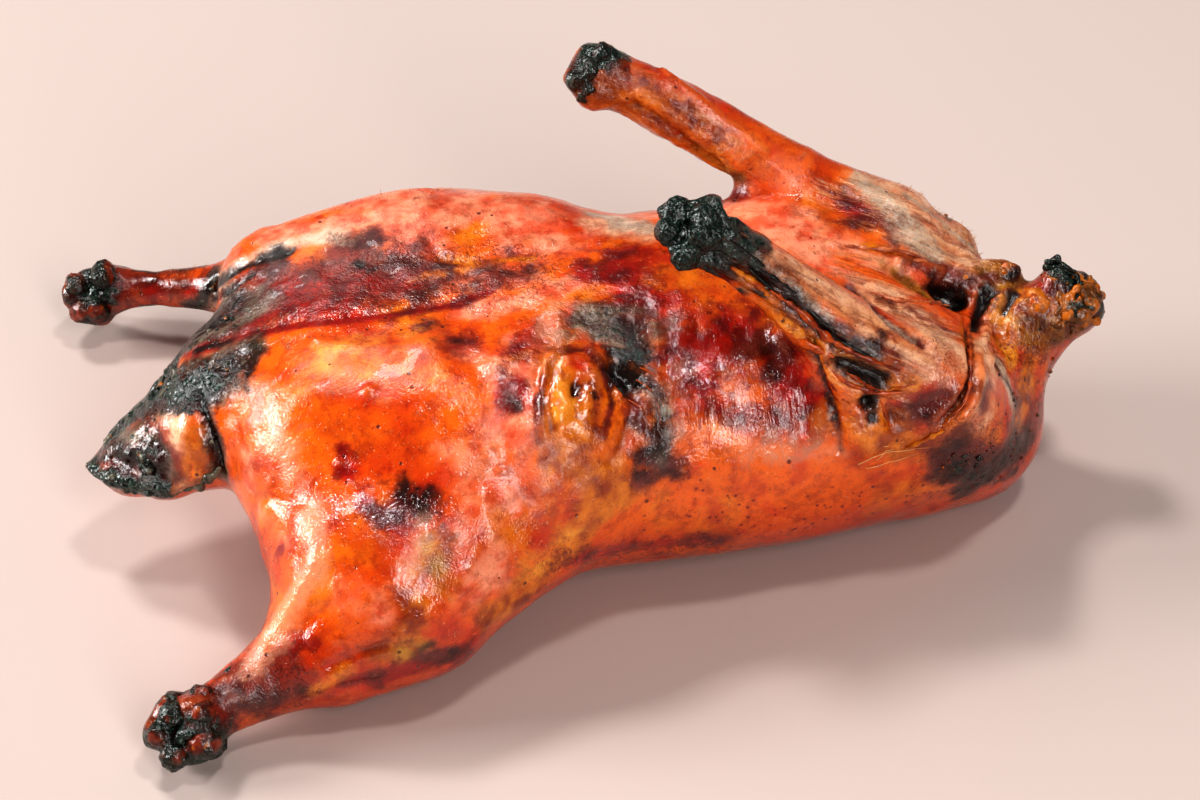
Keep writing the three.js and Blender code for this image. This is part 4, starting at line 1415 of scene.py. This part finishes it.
# How much is burnt, how far the balls rise in radii, and whether they are on both sides. A row is
# their least and largest radius and how far they stray, in millimetres, then the line.
CRUST_ROWS = {
    "tail_crust": {
        "tones": "smoked", "burnt": 0.5, "rise": -0.4, "both": False, "rows": (
            (0.8, 1.5, 1.5, (92, 456), (104, 442), (128, 415), (148, 396), (160, 380)),
            (0.8, 1.7, 5, (136, 446), (146, 456), (152, 464), (142, 470)),
            (0.5, 1.1, 6, (115, 452), (130, 442), (148, 436)),
            (0.5, 1.0, 2, (200, 398), (212, 428), (221, 462)))},
    "tail_rim_crust": {
        "tones": "smoked", "burnt": 0.4, "rise": 0.45, "both": False, "rows": (
            (1.0, 2.0, 1.2, (88, 461), (102, 475), (130, 488), (165, 493), (198, 484), (220, 470)),
            (0.6, 1.3, 1.2, (92, 450), (110, 430), (130, 408), (150, 388)))},
    "rump_crust": {
        "tones": "smoked", "burnt": 0.55, "rise": -0.45, "both": True, "rows": (
            (0.7, 1.9, 8, (160, 396), (165, 378), (178, 360), (196, 345)),
            (0.6, 1.7, 9, (180, 398), (200, 385), (218, 372), (238, 366)),
            (0.5, 1.1, 7, (186, 378), (206, 362), (230, 352)),
            (0.5, 1.0, 4, (200, 330), (196, 312), (206, 298)),
            (0.5, 1.3, 3, (152, 384), (172, 346), (198, 304), (218, 272)),
            (0.4, 0.9, 5, (244, 384), (262, 374), (280, 368)))},
    "neck_crumbs": {
        "tones": "crumb", "burnt": 0.42, "rise": 0.1, "both": False, "rows": (
            (1.0, 2.6, 4, (1074, 276), (1094, 290), (1102, 305), (1096, 322)),
            (0.8, 2.2, 5, (1060, 290), (1074, 304), (1080, 322)),
            (0.4, 1.2, 3, (1056, 284), (1098, 296), (1058, 300), (1100, 308), (1060, 316), (1092, 326)),
            (0.7, 1.8, 5, (1020, 296), (1040, 306), (1062, 322)),
            (0.4, 1.1, 6, (1018, 330), (1044, 342), (1034, 366)),
            (0.4, 1.0, 2, (1058, 345), (1050, 372), (1040, 405), (1028, 435)),
            (0.6, 1.4, 2, (1072, 272), (1086, 280), (1096, 292), (1098, 306)),
            (0.6, 1.3, 2, (1096, 310), (1090, 322), (1078, 330), (1068, 330)),
            (0.5, 1.1, 3, (1012, 288), (1022, 280), (1040, 276), (1056, 284)),
            (0.8, 1.5, 3, (938, 265), (952, 272), (966, 276), (982, 282)),
            (0.8, 1.5, 2, (1000, 270), (1014, 268), (1026, 274)))},
    "breast_crumbs": {
        "tones": "gristle", "burnt": 0.38, "rise": 0.0, "both": True, "rows": (
            (0.4, 1.1, 4, (944, 462), (1012, 436), (948, 470), (1018, 448), (956, 478), (1020, 458),
             (968, 486), (1008, 472)),
            (0.4, 0.9, 6, (940, 480), (1000, 440), (1030, 430), (960, 490)),
            (0.4, 0.9, 6, (992, 366), (1006, 386), (1016, 404)))},
    "neck_spike": {
        "tones": "coal", "burnt": 0.95, "rise": 0.4, "both": False, "rows": (
            (1.3, 1.9, 0.6, (1048, 268), (1056, 266), (1064, 270)),
            (1.0, 1.5, 0.6, (1062, 270), (1072, 274), (1082, 284)))},
    "neck_blade": {
        "tones": "coal", "burnt": 0.95, "rise": 2.2, "both": False, "rows": (
            (1.3, 1.7, 0.3, (1051, 267), (1058, 266)),
            (1.0, 1.3, 0.3, (1062, 270), (1070, 274)))},
}


def laid_ball(spot, radius, rise):
    """A ball on the skin nearest to a spot, raised by a share of its radius, and that skin's place."""
    on_skin, facing, _, _ = skin_tree.find_nearest(spot)
    return (on_skin + facing * radius * rise, radius), on_skin


for number, (name, crust) in enumerate(CRUST_ROWS.items()):
    draw = np.random.default_rng(CRUST_DRAWS + number)
    sites = []
    for least, most, astray, *pixels in crust["rows"]:
        for spot in trail(*pixels)[0]:
            radius = (least + (most - least) * draw.random() ** 2) * MM
            spot = spot + draw.normal(0, 0.5 * astray * MM, 3)
            ball, on_skin = laid_ball(spot, radius, crust["rise"])
            sites.append(ball)
            if crust["both"]:
                sites.append(laid_ball(across_spine(on_skin), radius, crust["rise"])[0])
    piece = melted(name, sites, CRUST_CELL, CRUST_PITTING, CRUST_PITS + 10 * number)
    colour_knobs(piece, crust["tones"], crust["burnt"], CRUST_CLOUDS + 20 * number)
    coat(piece, knobs)
    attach(piece, "root")

# Sinews and strands: where the wings fold against the body the skin has split into strands of
# sinew, amber where it is thin and black where it burnt. Each is a thin tube along the skin.
# A row is a radius in millimetres, then the line.
STRANDS = {
    "gold_strands": {"tones": (srgb(214, 128, 34), srgb(168, 70, 14)), "rows": (
        (1.5, (731, 267), (745, 276), (760, 286), (769, 296)),
        (0.9, (846, 414), (860, 424), (872, 438)),
        (0.8, (884, 392), (900, 386), (916, 384)),
        (1.0, (905, 449), (925, 440), (945, 430)))},
    "amber_strands": {"tones": (srgb(190, 84, 18), srgb(120, 40, 10)), "rows": (
        (1.3, (770, 290), (800, 311), (830, 340), (860, 356), (900, 371)),
        (1.4, (776, 322), (800, 341), (834, 357)),
        (1.1, (822, 363), (848, 384), (880, 394), (902, 392)),
        (1.0, (826, 372), (838, 392), (850, 404)),
        (0.9, (968, 326), (970, 346), (971, 368), (970, 386), (964, 405), (950, 418)),
        (0.8, (846, 372), (868, 386), (884, 392)),
        (0.9, (880, 400), (886, 418), (896, 436)))},
    "flesh_strands": {"tones": (srgb(216, 132, 88), srgb(158, 76, 44)), "rows": (
        (1.7, (1010, 290), (996, 300), (988, 316), (985, 335), (990, 351), (1004, 361)),
        (1.3, (940, 262), (952, 266), (966, 270)),
        (1.2, (905, 262), (920, 262), (936, 270), (948, 282)),
        (1.0, (845, 246), (872, 249), (900, 251), (922, 258)),
        (1.0, (870, 292), (895, 300), (925, 302), (950, 306)),
        (1.1, (1000, 268), (1014, 264), (1028, 270)))},
    "black_strands": {"tones": (srgb(30, 26, 20), srgb(14, 16, 14)), "rows": (
        (0.8, (730, 240), (748, 253), (766, 268)),
        (0.7, (762, 270), (782, 283), (800, 297)),
        (0.7, (800, 302), (818, 318), (836, 334)),
        (0.6, (838, 340), (856, 350), (872, 357)),
        (0.7, (748, 268), (762, 280), (776, 292)))},
}
STRAND_STEP = 1.4 * MM
FEWEST_STEPS = 5
STRAND_RISE = 0.1
STRAND_BLUNT = 0.12
STRAND_DRAWS = 360
STRAND_CLOUDS = 700
STRAND_SHADE = (0.42, 0.26, 0.20, 1.0)


def tubes(name, lines, thick, sides):
    """Tubes along lines, each a route and its radii in shares of a thickness, as one piece."""
    curve = bpy.data.curves.new(name, "CURVE")
    curve.dimensions = "3D"
    curve.bevel_depth = thick
    curve.bevel_resolution = sides
    curve.use_fill_caps = True
    for route, radii in lines:
        line = curve.splines.new("POLY")
        line.points.add(len(route) - 1)
        for point, stop, radius in zip(line.points, route, radii):
            point.co = (*stop, 1)
            point.radius = radius
    outline = put_in_scene(name, curve)
    mesh = bpy.data.meshes.new_from_object(outline.evaluated_get(bpy.context.evaluated_depsgraph_get()))
    bpy.data.objects.remove(outline)
    mesh.shade_smooth()
    return put_in_scene(name, mesh)


sinew, tree, shader, place = new_material("sinew", coat_weight=0.15, coat_roughness=0.06)
fine = grain(tree, place, size=0.0011, detail=4.0, roughness=0.65)
colour = laid_over(tree, ramp(tree, fine, 0.48, 0.66, end=0.6), kept(tree, "paint", "Color"),
                   STRAND_SHADE, "MULTIPLY")
finish_surface(tree, shader, colour, plus(tree, 0.05, fine, 0.25),
               ((wrinkles, 0.0025, 0.15),), ((fine, 0.15),))

for number, (name, kind) in enumerate(STRANDS.items()):
    draw = np.random.default_rng(STRAND_DRAWS + number)
    lines = []
    for radius, *pixels in kind["rows"]:
        spots, facings = trail(*pixels)
        spots = spots + facings * radius * STRAND_RISE * MM
        travelled = np.concatenate(([0], np.cumsum(np.linalg.norm(np.diff(spots, axis=0), axis=1))))
        count = max(FEWEST_STEPS, round(travelled[-1] / STRAND_STEP))
        stops = np.linspace(0, travelled[-1], count)
        route = np.stack([np.interp(stops, travelled, spots[:, axis]) for axis in range(3)], axis=1)
        route[1:-1] = (route[:-2] + 2 * route[1:-1] + route[2:]) / 4
        swell = 0.9 + 0.45 * draw.normal(0, 1, count).clip(-1, 1)
        taper = np.sin(np.linspace(STRAND_BLUNT, math.pi - STRAND_BLUNT, count)) ** 0.6
        lines.append((route, radius * swell * taper))
    piece = tubes(name, lines, MM, sides=3)
    light_tone, dark_tone = kind["tones"]
    drift = cloudiness(coordinates(piece.data), 4 * MM, STRAND_CLOUDS + 7 * number)
    give_paint(piece.data, laid_on(light_tone, ((1, smooth_step(drift, -0.5, 0.6), dark_tone),)))
    coat(piece, sinew)
    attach(piece, "root")

# Loose fibres and feather stubs: hair-thin shreds of meat curl off beside the hip and under the
# wing, and stubs of plucked feathers stand on the far shoulder and the wings. Each is a tapered
# thread. A row is a radius in millimetres, then the line.
FIBRES = {
    "pale_fibres": {"colour": srgb(232, 186, 128), "rows": (
        (0.20, (858, 464), (872, 456), (890, 451), (910, 449), (930, 446)),
        (0.16, (866, 468), (884, 463), (905, 457), (918, 452)),
        (0.15, (880, 446), (892, 445), (904, 441)),
        (0.15, (876, 460), (886, 450), (902, 446)))},
    "amber_fibres": {"colour": srgb(206, 92, 24), "rows": (
        (0.22, (640, 368), (652, 374), (664, 388), (670, 404)),
        (0.18, (648, 364), (668, 378), (682, 398), (690, 416)),
        (0.18, (636, 380), (650, 390), (658, 406), (660, 424)),
        (0.16, (660, 370), (676, 384), (692, 392)),
        (0.20, (628, 400), (640, 408), (650, 424), (648, 440)))},
}
# How many stubs stand about each line, how far they stray from it in millimetres, and the line.
STUB_PLACES = {
    "far_shoulder": (70, 9, (905, 188), (940, 212), (975, 245)),
    "far_wing": (26, 4, (645, 85), (700, 125), (745, 158)),
    "near_wing": (30, 5, (760, 255), (820, 300), (880, 335)),
    "far_hip": (16, 5, (370, 200), (410, 196), (440, 194)),
    "far_leg": (14, 3, (165, 275), (200, 270), (215, 262)),
}
STUB_COLOUR = srgb(196, 140, 84)
STUB_LENGTH = 1.7 * MM
STUB_THICKNESS = 0.14 * MM
STUB_ROOT = 0.3
STUB_LEAN = Vector((0.5, 0.0, 0.0))
FIBRE_CURL = 0.5 * MM
FIBRE_WAVES = 1.25
THREAD_TAPER = 0.75


def tapered(route, thick):
    """A thread's route, and its radius at each stop, thinner towards the end."""
    return route, thick * (1 - THREAD_TAPER * np.linspace(0, 1, len(route)))


for name, kind in FIBRES.items():
    lines = []
    for thick, *pixels in kind["rows"]:
        spots, facings = trail(*pixels)
        wave = np.abs(np.sin(np.linspace(0, FIBRE_WAVES * math.tau, len(spots))))
        height = wave * FIBRE_CURL + thick * MM
        lines.append(tapered(spots + facings * height[:, None], thick * MM))
    piece = tubes(name, lines, 1.0, sides=1)
    give_paint(piece.data, kind["colour"])
    coat(piece, sinew)
    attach(piece, "root")

draw = np.random.default_rng(390)
lines = []
for count, wide, *pixels in STUB_PLACES.values():
    spots = trail(*pixels)[0]
    for pick in draw.integers(0, len(spots), count):
        on_skin, facing, _, _ = skin_tree.find_nearest(spots[pick] + draw.normal(0, 0.5 * wide * MM, 3))
        lean = Vector(draw.normal(0, 0.45, 3)) + STUB_LEAN
        rise = (facing + lean).normalized() * STUB_LENGTH * (0.5 + draw.random())
        route = [on_skin - facing * STUB_ROOT * MM, on_skin + 0.5 * rise, on_skin + rise]
        lines.append(tapered(route, STUB_THICKNESS))
stubs = tubes("feather_stubs", lines, 1.0, sides=0)
give_paint(stubs.data, STUB_COLOUR)
coat(stubs, sinew)
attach(stubs, "root")

low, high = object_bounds()
